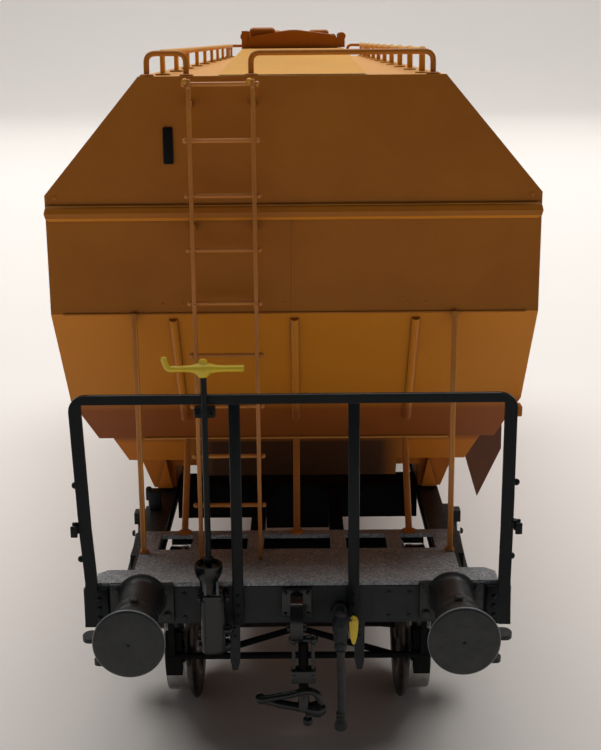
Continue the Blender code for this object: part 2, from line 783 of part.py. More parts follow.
def roof_hoop(x_low, x_high):
    foot = ROOF_HEIGHT + JOINT_GAP
    top = foot + ROOF_RAIL_HEIGHT
    points = arch(x_low, x_high, foot, top, ROOF_HOOP_CORNER)
    return rod([(x, ROOF_HOOP_SETBACK, z) for x, z in points], ROOF_RAIL_RADIUS, 1)


# Underframe

def side_sill(side):
    """A channel with its back to the outside, from one headstock to the other."""
    top = SILL_TOP_HEIGHT
    foot = top - SILL_DEPTH
    web = SILL_OUTER_X - SILL_WEB
    lip = SILL_OUTER_X - SILL_FOOT_WIDTH
    outline = [
        (SILL_INNER_X, top),
        (SILL_OUTER_X, top),
        (SILL_OUTER_X, foot),
        (lip, foot),
        (lip, foot + SILL_FLANGE),
        (web, foot + SILL_FLANGE),
        (web, top - SILL_FLANGE),
        (SILL_INNER_X, top - SILL_FLANGE),
    ]
    run = HALF_LENGTH - HEADSTOCK_BACK - JOINT_GAP
    return plate([(side * x, z) for x, z in outline], (-run, run), "y")


def make_sills(datum):
    for side, word in ((-1, "left"), (1, "right")):
        add(f"side_sill_{word}", side_sill(side), FRAME_GREY, datum)


def step_tread(side, outer, height):
    """A tread with its outer corners cut off."""
    start = HEADSTOCK_BACK - STEP_LENGTH / 2
    stop = start + STEP_LENGTH
    outline = [
        (side * STEP_INNER_X, start),
        (side * (outer - STEP_CORNER), start),
        (side * outer, start + STEP_CORNER),
        (side * outer, stop - STEP_CORNER),
        (side * (outer - STEP_CORNER), stop),
        (side * STEP_INNER_X, stop),
    ]
    return plate(outline, (height - STEP_THICKNESS, height), "z")


def corner_step(side):
    """Two treads on a strap at the headstock's outer end."""
    high = step_tread(side, STEP_OUTER_X, STEP_HEIGHT)
    low = step_tread(side, LOW_STEP_OUTER_X, LOW_STEP_HEIGHT)
    inner = STEP_INNER_X + STEP_STRAP_INSET
    back = HEADSTOCK_BACK - STEP_STRAP_INSET
    strap = block(
        side_span(side, inner, inner + STEP_STRAP_WIDTH),
        (back - STEP_STRAP_WIDTH, back),
        (LOW_STEP_HEIGHT - STEP_THICKNESS / 2, HEADSTOCK_FOOT_HEIGHT + HEADSTOCK_CHAMFER),
    )
    return [high, low, strap]


def hanger(side):
    xs = side_span(side, HANGER_X - HANGER_WIDTH / 2, HANGER_X + HANGER_WIDTH / 2)
    ys = (HEADSTOCK_BACK - HANGER_LENGTH, HEADSTOCK_BACK)
    return block(xs, ys, (HANGER_FOOT_HEIGHT, HEADSTOCK_FOOT_HEIGHT + EMBED))


def headstock():
    top = SILL_TOP_HEIGHT
    inner = HEADSTOCK_HALF_WIDTH - HEADSTOCK_CHAMFER
    outline = [
        (-HEADSTOCK_HALF_WIDTH, top),
        (-HEADSTOCK_HALF_WIDTH, HEADSTOCK_FOOT_HEIGHT + HEADSTOCK_CHAMFER),
        (-inner, HEADSTOCK_FOOT_HEIGHT),
        (inner, HEADSTOCK_FOOT_HEIGHT),
        (HEADSTOCK_HALF_WIDTH, HEADSTOCK_FOOT_HEIGHT + HEADSTOCK_CHAMFER),
        (HEADSTOCK_HALF_WIDTH, top),
    ]
    beam = plate(outline, (BUFFER_LENGTH, HEADSTOCK_BACK), "y")
    pieces = [beam] + corner_step(-1) + corner_step(1) + mirrored(hanger)
    return combine(pieces)


def deck_outline():
    wing = BUFFER_LENGTH + DECK_WING_LENGTH
    back = BUFFER_LENGTH + DECK_LENGTH
    right = [
        (HEADSTOCK_HALF_WIDTH, BUFFER_LENGTH),
        (HEADSTOCK_HALF_WIDTH, wing - HEADSTOCK_CHAMFER),
        (HEADSTOCK_HALF_WIDTH - HEADSTOCK_CHAMFER, wing),
        (DECK_HALF_WIDTH, wing),
        (DECK_HALF_WIDTH, back),
    ]
    left = [(-x, y) for x, y in reversed(right)]
    return right + left


def deck():
    """The platform's sheet with its five openings."""
    top = DECK_TOP_HEIGHT
    sheet = plate(deck_outline(), (top - DECK_THICKNESS, top), "z")
    start = BUFFER_LENGTH + DECK_PLATE_LENGTH
    ys = (start, start + DECK_OPENING_LENGTH)
    zs = (top - DECK_THICKNESS - CUT_OVERRUN, top + CUT_OVERRUN)
    edges = DECK_OPENING_EDGES
    spans = [(-edges[4], edges[4])]
    for side in (-1, 1):
        spans.append(side_span(side, edges[1], edges[0]))
        spans.append(side_span(side, edges[3], edges[2]))
    return combine([sheet] + [block(span, ys, zs) for span in spans], "DIFFERENCE")


def bolster():
    """Cross beam between the side sills, with the centre sills that run to the headstock."""
    top = SILL_TOP_HEIGHT
    half = SILL_INNER_X - JOINT_GAP
    ys = (CROSS_BEAM_SETBACK, CROSS_BEAM_SETBACK + CROSS_BEAM_LENGTH)
    pieces = [block((-half, half), ys, (CROSS_BEAM_FOOT_HEIGHT, top))]
    middle = CROSS_BEAM_CENTRE_HALF_WIDTH
    low = CROSS_BEAM_FOOT_HEIGHT - CROSS_BEAM_CENTRE_DROP
    pieces.append(block((-middle, middle), ys, (low, CROSS_BEAM_FOOT_HEIGHT + EMBED)))
    run = (HEADSTOCK_BACK + JOINT_GAP, CROSS_BEAM_SETBACK + EMBED)
    for side in (-1, 1):
        xs = side_span(side, CENTRE_SILL_INNER_X, CENTRE_SILL_INNER_X + CENTRE_SILL_WIDTH)
        pieces.append(block(xs, run, (top - CENTRE_SILL_DEPTH, top - EMBED)))
    return combine(pieces)


# Buffers

def buffer():
    """Turned about Z with the head up, then laid down to face the end."""
    plate_face = BUFFER_LENGTH - BUFFER_PLATE_THICKNESS - JOINT_GAP
    sleeve_start = plate_face - BUFFER_SLEEVE_LENGTH - BUFFER_COLLAR_LENGTH
    head = BUFFER_HEAD_THICKNESS
    profile = [
        (0, -BUFFER_DIMPLE_DEPTH),
        (BUFFER_DIMPLE_RADIUS, -BUFFER_DIMPLE_DEPTH),
        (BUFFER_DIMPLE_RADIUS, 0),
        (BUFFER_HEAD_RADIUS - BUFFER_HEAD_CROWN, 0),
        (BUFFER_HEAD_RADIUS, -BUFFER_HEAD_CROWN),
        (BUFFER_HEAD_RADIUS, -head),
        (BUFFER_SHANK_RADIUS, -head - BUFFER_HEAD_CROWN),
        (BUFFER_SHANK_RADIUS, -sleeve_start),
        (BUFFER_SLEEVE_RADIUS, -sleeve_start),
        (BUFFER_SLEEVE_RADIUS, -sleeve_start - BUFFER_SLEEVE_LENGTH),
        (BUFFER_COLLAR_RADIUS, -sleeve_start - BUFFER_SLEEVE_LENGTH),
        (BUFFER_COLLAR_RADIUS, -plate_face - EMBED),
        (0, -plate_face - EMBED),
    ]
    body = turned(profile)
    bake_place(body, Matrix.Rotation(math.pi / 2, 4, "X"))
    half = BUFFER_PLATE_HALF_WIDTH
    base = block((-half, half), (plate_face, BUFFER_LENGTH - JOINT_GAP), (-half, half))
    joined = combine([body, base])
    return bake_place(joined, Matrix.Translation((0, 0, BUFFER_HEIGHT)))


# Draw hook, coupling and brake hose

def draw_hook():
    front = BUFFER_LENGTH - HOOK_REACH
    nose = HOOK_NOSE_HALF_HEIGHT
    shank = HOOK_SHANK_HALF_HEIGHT
    throat = nose * HOOK_THROAT_SHARE
    z = HOOK_HEIGHT
    back = BUFFER_LENGTH - JOINT_GAP
    outline = [
        (back, z + shank),
        (front + nose * 2, z + shank),
        (front + nose, z + throat),
        (front + nose * HOOK_TIP_SHARE, z + nose),
        (front + throat, z + nose * HOOK_CROWN_SHARE),
        (front, z + nose / 2),
        (front, z - throat),
        (front + nose / 2, z - nose),
        (front + nose * 2, z - shank),
        (back, z - shank),
    ]
    hook = plate(outline, (-HOOK_THICKNESS / 2, HOOK_THICKNESS / 2), "x")
    half = HOOK_PLATE_HALF_WIDTH
    base = block((-half, half), (back - HOOK_PLATE_THICKNESS, back), (z - half, z + half))
    return combine([hook, base])


def coupling():
    """Links, screw, nut and shackle hanging straight down from the draw hook."""
    x = COUPLING_X
    y = COUPLING_SETBACK
    top = HOOK_HEIGHT - HOOK_NOSE_HALF_HEIGHT - LINK_RADIUS
    nut = COUPLING_NUT_HEIGHT
    half = COUPLING_NUT_HALF_WIDTH
    depth = COUPLING_NUT_HALF_LENGTH
    rise = COUPLING_NUT_HALF_HEIGHT
    low = SHACKLE_HEIGHT
    pieces = [block((x - half, x + half), (y - depth, y + depth), (nut - rise, nut + rise))]
    wide = LINK_HALF_WIDTH
    ends = wide + LINK_RADIUS
    pieces.append(rod([(x - ends, y, top), (x + ends, y, top)], LINK_RADIUS))
    pieces.append(rod([(x, y, top), (x, y, nut)], COUPLING_SCREW_RADIUS))
    for side in (-1, 1):
        pieces.append(rod([(x + side * wide, y, top), (x + side * wide, y, nut + EMBED)], LINK_RADIUS))
        leg = x + side * (half - SHACKLE_RADIUS)
        pieces.append(rod([(leg, y, nut - EMBED), (leg, y, low)], SHACKLE_RADIUS))
    pieces.append(rod([(-SHACKLE_LEFT_X, y, low), (SHACKLE_RIGHT_X, y, low)], SHACKLE_RADIUS))
    return combine(pieces)


def brake_hose():
    """An upright cock on a stub from the headstock, with the hose hanging from it."""
    x = HOSE_X
    back = BUFFER_LENGTH - JOINT_GAP
    front = back - HOSE_REACH
    low = HOSE_FOOT_HEIGHT
    points = [
        (x, front, COCK_FOOT_HEIGHT + EMBED),
        (x, front, low + HOSE_END_LENGTH + HOSE_RADIUS),
        (x, front, low + HOSE_END_LENGTH),
        (x, front, low),
    ]
    end_swell = HOSE_END_RADIUS / HOSE_RADIUS
    hose = rod(points, HOSE_RADIUS, swell=(1, 1, end_swell, end_swell))
    cock = rod([(x, front, COCK_FOOT_HEIGHT), (x, front, COCK_TOP_HEIGHT)], COCK_RADIUS)
    stub = rod([(x, back, COCK_STUB_HEIGHT), (x, front, COCK_STUB_HEIGHT)], COCK_STUB_RADIUS)
    return combine([cock, hose, stub])


def cock_handle():
    """A leaf-shaped lever, pointed at its lower end."""
    low_x = HOSE_X + COCK_RADIUS + JOINT_GAP
    y = BUFFER_LENGTH - JOINT_GAP - HOSE_REACH
    top = COCK_HANDLE_HEIGHT
    shoulder = COCK_HANDLE_SHOULDER
    half = COCK_HANDLE_WIDTH / 2
    outline = [
        (low_x, top - shoulder),
        (low_x + half, top),
        (low_x + half * 2, top - shoulder),
        (low_x + half * 2, top - shoulder * 2),
        (low_x + half, top - COCK_HANDLE_LENGTH),
        (low_x, top - shoulder * 2),
    ]
    thick = COCK_HANDLE_THICKNESS
    return plate(outline, (y - thick / 2, y + thick / 2), "y")


# End rail, brake column and crank

def end_rail():
    """A flat-bar hoop with two posts and a lamp bracket on each side."""
    ys = (RAIL_SETBACK, RAIL_SETBACK + RAIL_BAR_THICKNESS)
    foot = HEADSTOCK_FOOT_HEIGHT
    outer = arch(-RAIL_HALF_WIDTH, RAIL_HALF_WIDTH, foot, RAIL_TOP_HEIGHT, RAIL_CORNER_RADIUS)
    inner_width = RAIL_HALF_WIDTH - RAIL_BAR_WIDTH
    inner_top = RAIL_TOP_HEIGHT - RAIL_BAR_WIDTH
    inner = arch(-inner_width, inner_width, foot, inner_top, RAIL_CORNER_RADIUS)
    pieces = [plate(outer + inner[::-1], ys, "y")]
    half = RAIL_BAR_WIDTH / 2
    for x in (-RAIL_POST_LEFT_X, RAIL_POST_RIGHT_X):
        pieces.append(block((x - half, x + half), ys, (foot, RAIL_TOP_HEIGHT - half)))
    depth = LAMP_BRACKET_DEPTH / 2
    for side in (-1, 1):
        xs = side_span(side, RAIL_HALF_WIDTH - half, RAIL_HALF_WIDTH + LAMP_BRACKET_REACH)
        pieces.append(block(xs, ys, (LAMP_BRACKET_HEIGHT - depth, LAMP_BRACKET_HEIGHT + depth)))
    return combine(pieces)


def column_line():
    """Where the brake column's axis stands."""
    return -COLUMN_X, RAIL_SETBACK - COLUMN_RADIUS - JOINT_GAP * 2


def brake_column():
    """The upright shaft, its gear housing at the foot and its bracket under the rail."""
    x, y = column_line()
    half = GEARBOX_HALF_WIDTH
    round_off = GEARBOX_ROUNDING
    shaft = rod([(x, y, GEARBOX_TOP_HEIGHT - EMBED), (x, y, CRANK_HEIGHT)], COLUMN_RADIUS)
    outline = [
        (x - half, GEARBOX_TOP_HEIGHT - round_off),
        (x - half + round_off, GEARBOX_TOP_HEIGHT),
        (x + half - round_off, GEARBOX_TOP_HEIGHT),
        (x + half, GEARBOX_TOP_HEIGHT - round_off),
        (x + half, GEARBOX_FOOT_HEIGHT + round_off),
        (x + half - round_off, GEARBOX_FOOT_HEIGHT),
        (x - half + round_off, GEARBOX_FOOT_HEIGHT),
        (x - half, GEARBOX_FOOT_HEIGHT + round_off),
    ]
    box = plate(outline, (y - half, y + COLUMN_RADIUS + JOINT_GAP), "y")
    wide = COLUMN_BRACKET_HALF_WIDTH
    top = RAIL_TOP_HEIGHT - RAIL_BAR_WIDTH
    bracket_ys = (y - COLUMN_RADIUS * 2, RAIL_SETBACK - JOINT_GAP)
    bracket = block((x - wide, x + wide), bracket_ys, (top - COLUMN_BRACKET_HEIGHT, top))
    return combine([shaft, box, bracket])


def brake_crank():
    """A flat arm on a hub, with an upright grip at one end."""
    x, y = column_line()
    z = CRANK_HEIGHT + JOINT_GAP
    hub = rod([(x, y, z), (x, y, z + CRANK_HUB_HEIGHT)], CRANK_HUB_RADIUS)
    half = CRANK_WIDTH / 2
    narrow = CRANK_END_WIDTH / 2
    reach = CRANK_LENGTH / 2
    outline = [
        (x - reach, y - narrow),
        (x, y - half),
        (x + reach, y - narrow),
        (x + reach, y + narrow),
        (x, y + half),
        (x - reach, y + narrow),
    ]
    arm = plate(outline, (z, z + CRANK_THICKNESS), "z")
    end = x - reach + narrow
    grip = rod([(end, y, z + EMBED), (end, y, z + CRANK_GRIP_HEIGHT)], CRANK_GRIP_RADIUS)
    return combine([arm, hub, grip])


# End struts and ladder

def round_strut(x):
    foot_z = DECK_TOP_HEIGHT + JOINT_GAP
    top_y = END_SHEET_FOOT_SETBACK + END_SHEET_THICKNESS - STRUT_RADIUS - JOINT_GAP
    top_z = END_SHEET_FOOT_HEIGHT - JOINT_GAP * 2
    width = STRUT_RADIUS
    outline = [
        (STRUT_FOOT_SETBACK - width, foot_z),
        (STRUT_FOOT_SETBACK + width, foot_z),
        (top_y + width, top_z),
        (top_y - width, top_z),
    ]
    return plate(outline, (x - width, x + width), "x")


def flat_strut(x):
    y = END_PANEL_SETBACK - FLAT_STRUT_THICKNESS - JOINT_GAP
    half = FLAT_STRUT_WIDTH / 2
    return block(
        (x - half, x + half),
        (y, y + FLAT_STRUT_THICKNESS),
        (DECK_TOP_HEIGHT + JOINT_GAP, PANEL_FOOT_HEIGHT),
    )


def ladder():
    ys = (LADDER_SETBACK - LADDER_RAIL_DEPTH / 2, LADDER_SETBACK + LADDER_RAIL_DEPTH / 2)
    foot = DECK_TOP_HEIGHT + JOINT_GAP
    top = LADDER_TOP_RUNG_HEIGHT + LADDER_TOP_OVERRUN
    rails = []
    for x, side in ((-LADDER_LEFT_X, 1), (-LADDER_RIGHT_X, -1)):
        rails.append(block(sorted((x, x + side * LADDER_RAIL_WIDTH)), ys, (foot, top)))
    low = -LADDER_LEFT_X - LADDER_RUNG_STUB
    high = -LADDER_RIGHT_X + LADDER_RUNG_STUB
    for index in range(int((LADDER_TOP_RUNG_HEIGHT - foot) / LADDER_RUNG_PITCH)):
        z = LADDER_TOP_RUNG_HEIGHT - LADDER_RUNG_PITCH * index
        rails.append(rod([(low, LADDER_SETBACK, z), (high, LADDER_SETBACK, z)], LADDER_RUNG_RADIUS, 0))
    return combine(rails)


def side_plate():
    """A triangular plate under the body's side fold."""
    edge = BODY_HALF_WIDTH - SIDE_PLATE_EDGE_INSET
    outline = [
        (BODY_HALF_WIDTH - SIDE_PLATE_APEX_INSET, SIDE_FOLD_HEIGHT - SIDE_PLATE_APEX_DROP),
        (edge, SIDE_FOLD_HEIGHT - SIDE_PLATE_SHOULDER_DROP),
        (edge, SIDE_FOLD_HEIGHT - JOINT_GAP),
        (BODY_HALF_WIDTH - SIDE_STEP + JOINT_GAP * 2, SIDE_FOLD_HEIGHT - JOINT_GAP),
    ]
    return plate(outline, (SIDE_PLATE_SETBACK, SIDE_PLATE_SETBACK + SIDE_PLATE_THICKNESS), "y")


# Axleguards, axleboxes and springs, about their own axle

def spring_height(y):
    """Height of the main leaf's top, which rises towards its ends."""
    return SPRING_HEIGHT + SPRING_RISE * (y / SPRING_HALF_LENGTH) ** 2


def spring_outline():
    """The leaves from the side, curved on top and stepped underneath."""
    half = SPRING_HALF_LENGTH
    thick = SPRING_LEAF_THICKNESS
    top = []
    for index in range(-ARC_STEPS, ARC_STEPS + 1):
        y = half * index / ARC_STEPS
        top.append((y, spring_height(y)))
    steps = [(half, spring_height(half) - thick)]
    for leaf in range(1, SPRING_LEAF_COUNT):
        y = half * (1 - leaf * SPRING_LEAF_STEP_SHARE)
        steps.append((y, spring_height(y) - thick * leaf))
        steps.append((y, spring_height(y) - thick * (leaf + 1)))
    return top + steps + [(-y, z) for y, z in reversed(steps)]


def spring_shackle(end):
    """The link from one end of the spring up to its bracket on the sill."""
    start = GUARD_OUTER_X + SPRING_INSET
    x = start + SPRING_WIDTH / 2
    y = end * (SPRING_HALF_LENGTH - SHACKLE_PIN_RADIUS)
    foot = spring_height(SPRING_HALF_LENGTH) - SPRING_LEAF_THICKNESS / 2
    bracket_foot = foot + SPRING_BRACKET_RISE
    ys = sorted((y - end * SHACKLE_PIN_RADIUS, y + end * SPRING_BRACKET_LENGTH))
    zs = (bracket_foot, bracket_foot + SPRING_BRACKET_HEIGHT)
    bracket = block((GUARD_INNER_X, start + SPRING_WIDTH), ys, zs)
    link = rod([(x, y, foot), (x, y + end * SHACKLE_PIN_RADIUS, bracket_foot + EMBED)], SHACKLE_PIN_RADIUS)
    return [bracket, link]


def guard_plate():
    """The plate that holds the axlebox, wide at the sill and narrow at its foot."""
    top = SILL_TOP_HEIGHT - GUARD_TOP_DROP
    shoulder = top - GUARD_SHOULDER_DROP
    wide = GUARD_TOP_HALF_LENGTH
    leg = GUARD_LEG_HALF_LENGTH
    right = [(wide, top), (wide, shoulder), (leg, GUARD_LEG_TOP_HEIGHT), (leg, GUARD_FOOT_HEIGHT)]
    outline = right + [(-y, z) for y, z in reversed(right)]
    body = plate(outline, (GUARD_INNER_X, GUARD_OUTER_X), "x")
    windows = []
    edge = GUARD_WINDOW_EDGE
    for end in (-1, 1):
        corners = [
            (end * GUARD_WINDOW_START, shoulder - edge),
            (end * (wide - edge * 2), shoulder - edge),
            (end * GUARD_WINDOW_START, GUARD_LEG_TOP_HEIGHT + edge * 2),
        ]
        windows.append(plate(corners, (GUARD_INNER_X - CUT_OVERRUN, GUARD_OUTER_X + CUT_OVERRUN), "x"))
    return combine([body] + windows, "DIFFERENCE")


def axleguard():
    """Plate, axlebox, leaf spring and shackles of one wheel, on the right of the wagon."""
    box_x = (GUARD_OUTER_X - EMBED, GUARD_OUTER_X + AXLEBOX_DEPTH)
    half = AXLEBOX_HALF_LENGTH
    axle = WHEEL_TREAD_RADIUS
    box_top = axle + AXLEBOX_HALF_HEIGHT
    box = block(box_x, (-half, half), (axle - AXLEBOX_HALF_HEIGHT, box_top))
    cover_x = (box_x[1] - EMBED, box_x[1] + AXLEBOX_COVER_DEPTH)
    cover = rod([(cover_x[0], 0, axle), (cover_x[1], 0, axle)], AXLEBOX_COVER_RADIUS, 3)
    start = GUARD_OUTER_X + SPRING_INSET
    spring = plate(spring_outline(), (start, start + SPRING_WIDTH), "x")
    margin = BUCKLE_MARGIN
    length = BUCKLE_HALF_LENGTH
    buckle_x = (start - margin, start + SPRING_WIDTH + margin)
    buckle = block(buckle_x, (-length, length), (box_top - EMBED, SPRING_HEIGHT + margin))
    pieces = [guard_plate(), box, cover, spring, buckle] + spring_shackle(-1) + spring_shackle(1)
    return combine([combine(pieces), journal_hole()], "DIFFERENCE")


def journal_hole():
    """The blind hole that an axle end turns in."""
    radius = AXLE_JOURNAL_RADIUS + JOURNAL_CLEARANCE
    reach = AXLE_HALF_LENGTH + JOURNAL_CLEARANCE
    hole = turned([(0, reach), (radius, reach), (radius, 0), (0, 0)], SMALL_SEGMENTS)
    lift = Matrix.Translation((0, 0, WHEEL_TREAD_RADIUS))
    return bake_place(hole, lift @ Matrix.Rotation(math.pi / 2, 4, "Y"))


# Brake gear

def shoe_arc(radius):
    """Points along a brake shoe's face or back, from its top down."""
    points = []
    for index in range(ARC_STEPS + 1):
        turn = math.radians(SHOE_HALF_ANGLE) * (1 - 2 * index / ARC_STEPS)
        y = AXLE_SETBACK - radius * math.cos(turn)
        points.append((y, WHEEL_TREAD_RADIUS + radius * math.sin(turn)))
    return points


def brake_shoe(side):
    inner = WHEEL_TREAD_RADIUS + SHOE_CLEARANCE
    outline = shoe_arc(inner) + shoe_arc(inner + SHOE_THICKNESS)[::-1]
    return plate(outline, side_span(side, SHOE_INNER_X, SHOE_OUTER_X), "x")


def brake_hanger(side):
    half = BRAKE_HANGER_WIDTH / 2
    xs = side_span(side, BRAKE_HANGER_X - half, BRAKE_HANGER_X + half)
    ys = (BRAKE_BEAM_SETBACK - half, BRAKE_BEAM_SETBACK + half)
    return block(xs, ys, (WHEEL_TREAD_RADIUS, SILL_TOP_HEIGHT))


def brake_gear():
    """A triangle with a shoe at each end, hung in front of the wheels."""
    y = BRAKE_BEAM_SETBACK
    z = WHEEL_TREAD_RADIUS
    reach = BRAKE_BEAM_HALF_LENGTH
    bar = rod([(-reach, y, z), (reach, y, z)], BRAKE_BEAM_RADIUS)
    stay_x = BRAKE_STAY_X
    apex = BRAKE_APEX_SETBACK
    stays = rod([(-stay_x, y, z), (0, apex, z), (stay_x, y, z)], BRAKE_BEAM_RADIUS)
    half = BRAKE_APEX_HALF_SIZE
    eye = block((-half, half), (apex - half, apex + half), (z - half, z + half))
    return combine([bar, stays, eye] + mirrored(brake_shoe) + mirrored(brake_hanger))


# Wheelsets

def wheelset():
    """Axle and both wheels as one turned piece, about its own axis."""
    tread = WHEEL_TREAD_RADIUS
    flange = tread + FLANGE_DEPTH
    back = WHEEL_BACK_TO_BACK / 2
    inner_rim = tread - WHEEL_RIM_THICKNESS
    web = WHEEL_WEB_RECESS
    half = [
        (0, AXLE_HALF_LENGTH),
        (AXLE_JOURNAL_RADIUS, AXLE_HALF_LENGTH),
        (AXLE_JOURNAL_RADIUS, back + WHEEL_WIDTH),
        (WHEEL_HUB_RADIUS, back + WHEEL_WIDTH),
        (WHEEL_HUB_RADIUS, back + WHEEL_WIDTH - web),
        (inner_rim, back + WHEEL_WIDTH - web),
        (inner_rim, back + WHEEL_WIDTH),
        (tread, back + WHEEL_WIDTH),
        (tread, back + WHEEL_FLANGE_WIDTH),
        (flange - FLANGE_DEPTH * FLANGE_ROUND_SHARE, back + WHEEL_FLANGE_WIDTH * FLANGE_ROOT_SHARE),
        (flange, back + WHEEL_FLANGE_WIDTH * FLANGE_TIP_SHARE),
        (flange - FLANGE_DEPTH * FLANGE_ROUND_SHARE, back),
        (inner_rim, back),
        (inner_rim, back + web),
        (WHEEL_HUB_RADIUS, back + web),
        (WHEEL_HUB_RADIUS, back),
        (AXLE_RADIUS, back),
    ]
    profile = half + [(radius, -x) for radius, x in reversed(half)]
    piece = turned(profile, ROUND_SEGMENTS)
    return bake_place(piece, Matrix.Rotation(math.pi / 2, 4, "Y"))


# Assembly

def make_end(front, rear):
    """The pieces found at both ends, once for the front and copied to the rear."""
    both = [
        ("headstock", headstock(), FRAME_GREY, False),
        ("deck", deck(), DECK_GREY, False),
        ("bolster", bolster(), FRAME_GREY, False),
        ("brake_gear", brake_gear(), FRAME_GREY, False),
        ("end_rail", end_rail(), FRAME_GREY, False),
        ("draw_hook", draw_hook(), FRAME_GREY, False),
        ("coupling", coupling(), FRAME_GREY, True),
        ("brake_hose", brake_hose(), FRAME_GREY, True),
        ("hose_cock_handle", cock_handle(), HANDLE_YELLOW, False),
        ("ladder", ladder(), ORANGE, False),
        ("end_strut_left", round_strut(-RIB_SPACING), ORANGE, False),
        ("end_strut_middle", round_strut(0), ORANGE, False),
        ("end_strut_right", round_strut(RIB_SPACING), ORANGE, False),
        ("flat_strut_left", flat_strut(-FLAT_STRUT_X), ORANGE, False),
        ("flat_strut_right", flat_strut(FLAT_STRUT_X), ORANGE, False),
        ("roof_hoop_left", roof_hoop(-ROOF_HOOP_LEFT_OUT, -ROOF_HOOP_LEFT_IN), YELLOW, True),
        ("roof_hoop_right", roof_hoop(-ROOF_HOOP_RIGHT_IN, ROOF_HOOP_RIGHT_OUT), YELLOW, True),
    ]
    for name, piece, material, smooth in both:
        node = add(f"{name}_front", piece, material, front, smooth)
        add_copy(f"{name}_rear", node, rear)


def make_buffers(front, rear):
    first = None
    for datum, end in ((front, "front"), (rear, "rear")):
        for side, word in ((-1, "left"), (1, "right")):
            name = f"buffer_{end}_{word}"
            if first is None:
                first = add(name, buffer(), FRAME_GREY, datum, True)
                node = first
            else:
                node = add_copy(name, first, datum)
            node.location.x = side * BUFFER_SPACING / 2


def make_running_gear(datum):
    guard = None
    wheels = None
    for word, end in (("front", -1), ("rear", 1)):
        y = end * (HALF_LENGTH - AXLE_SETBACK)
        axle = make_datum(f"axle_{word}_datum", y, 0, 0, datum)
        for side, turn in (("left", math.pi), ("right", 0)):
            name = f"axleguard_{word}_{side}"
            if guard is None:
                guard = add(name, axleguard(), FRAME_GREY, axle)
                node = guard
            else:
                node = add_copy(name, guard, axle)
            node.rotation_euler.z = turn
        name = f"wheelset_{word}"
        if wheels is None:
            wheels = add(name, wheelset(), WHEEL_METAL, axle, True)
            node = wheels
        else:
            node = add_copy(name, wheels, axle)
        node.location.z = WHEEL_TREAD_RADIUS


def build():
    middle = make_datum("wagon_datum", 0, FLANGE_DEPTH, 0)
    middle_turned = make_datum("wagon_turned_datum", 0, FLANGE_DEPTH, math.pi)
    front = make_datum("front_datum", -HALF_LENGTH, FLANGE_DEPTH, 0)
    rear = make_datum("rear_datum", HALF_LENGTH, FLANGE_DEPTH, math.pi)
    make_hopper_body(middle)
    make_outlets(middle, middle_turned)
    make_coaming(middle)
    make_hatches(middle)
    make_roof_rails(middle)
    make_sills(middle)
    make_end(front, rear)
    make_buffers(front, rear)
    add("brake_column", brake_column(), FRAME_GREY, front, True)
    add("brake_crank", brake_crank(), HANDLE_YELLOW, front, True)
    bracket = add("side_plate", side_plate(), BRACKET_BROWN, front)
    add_copy("side_plate_rear", bracket, rear)
    make_running_gear(middle)


build()
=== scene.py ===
import math

import bmesh
import bpy
from mathutils import Matrix, Vector


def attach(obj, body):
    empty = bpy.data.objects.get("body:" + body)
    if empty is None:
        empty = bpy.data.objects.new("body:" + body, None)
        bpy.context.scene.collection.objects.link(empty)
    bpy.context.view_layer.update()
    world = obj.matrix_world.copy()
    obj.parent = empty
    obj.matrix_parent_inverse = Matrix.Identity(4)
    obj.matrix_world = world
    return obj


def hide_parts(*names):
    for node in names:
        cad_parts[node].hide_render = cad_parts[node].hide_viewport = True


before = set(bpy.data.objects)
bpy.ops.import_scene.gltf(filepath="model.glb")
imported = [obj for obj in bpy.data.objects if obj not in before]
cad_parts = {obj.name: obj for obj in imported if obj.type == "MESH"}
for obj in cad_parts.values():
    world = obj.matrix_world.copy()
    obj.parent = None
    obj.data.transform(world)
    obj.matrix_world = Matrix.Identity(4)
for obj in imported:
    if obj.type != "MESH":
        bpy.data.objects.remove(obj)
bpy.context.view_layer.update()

# Places that the whole model is built around, in metres
MM = 0.001
HALF_LENGTH = 58.75 * MM
RAIL_LEVEL = 0.65 * MM


# Materials

EDGE_SAMPLES = 4
HOLLOW_SAMPLES = 6
EDGE_FACING = (0.995, 0.85)
HOLLOW_OPENNESS = (0.85, 0.35)
END_FACING = (0.3, 0.5)
UNDER_FACING = (-0.3, -0.5)
ROOF_FACING = (0.25, 0.45)
# Painted light: the hopper body's upward faces above this level are lighter and yellower
ROOF_LIGHT_LEVEL = 38.2 * MM
ROOF_LIGHT_FADE = 0.3 * MM
# Painted shadow: a darker red-brown band low on the end sheets, below these levels
SHEET_SHADE_LEVELS = (23.2 * MM, 22.0 * MM)
# Below these levels the end faces under the sheet's foot get painted light, and painted shade in the recess
FOOT_LIGHT_AND_SHADE_LEVELS = (19.2 * MM, 18.6 * MM)
SHEET_HALF_WIDTH = 20 * MM
# Half width of the painted shade in the recess below the end sheet's foot
RECESS_HALF_WIDTH = 7.4 * MM
# Painted light: the end sheets that slope in below the panel are lighter
SLOPED_SHEET_PAINTED_LIGHT_COLOR = (0.64, 0.225, 0.014)
# Painted shadow in a band low on the end sheets
SHEET_PAINTED_SHADE_COLOR = (0.32, 0.085, 0.012)
# Painted light on the end faces below the sheet's foot
FOOT_PAINTED_LIGHT_COLOR = (0.66, 0.20, 0.012)
# Painted shade in the recess below the end sheet's foot
RECESS_PAINTED_SHADE_COLOR = (0.085, 0.032, 0.012)
PAINT_HOLLOW = 0.7 * MM
METAL_HOLLOW = 0.8 * MM


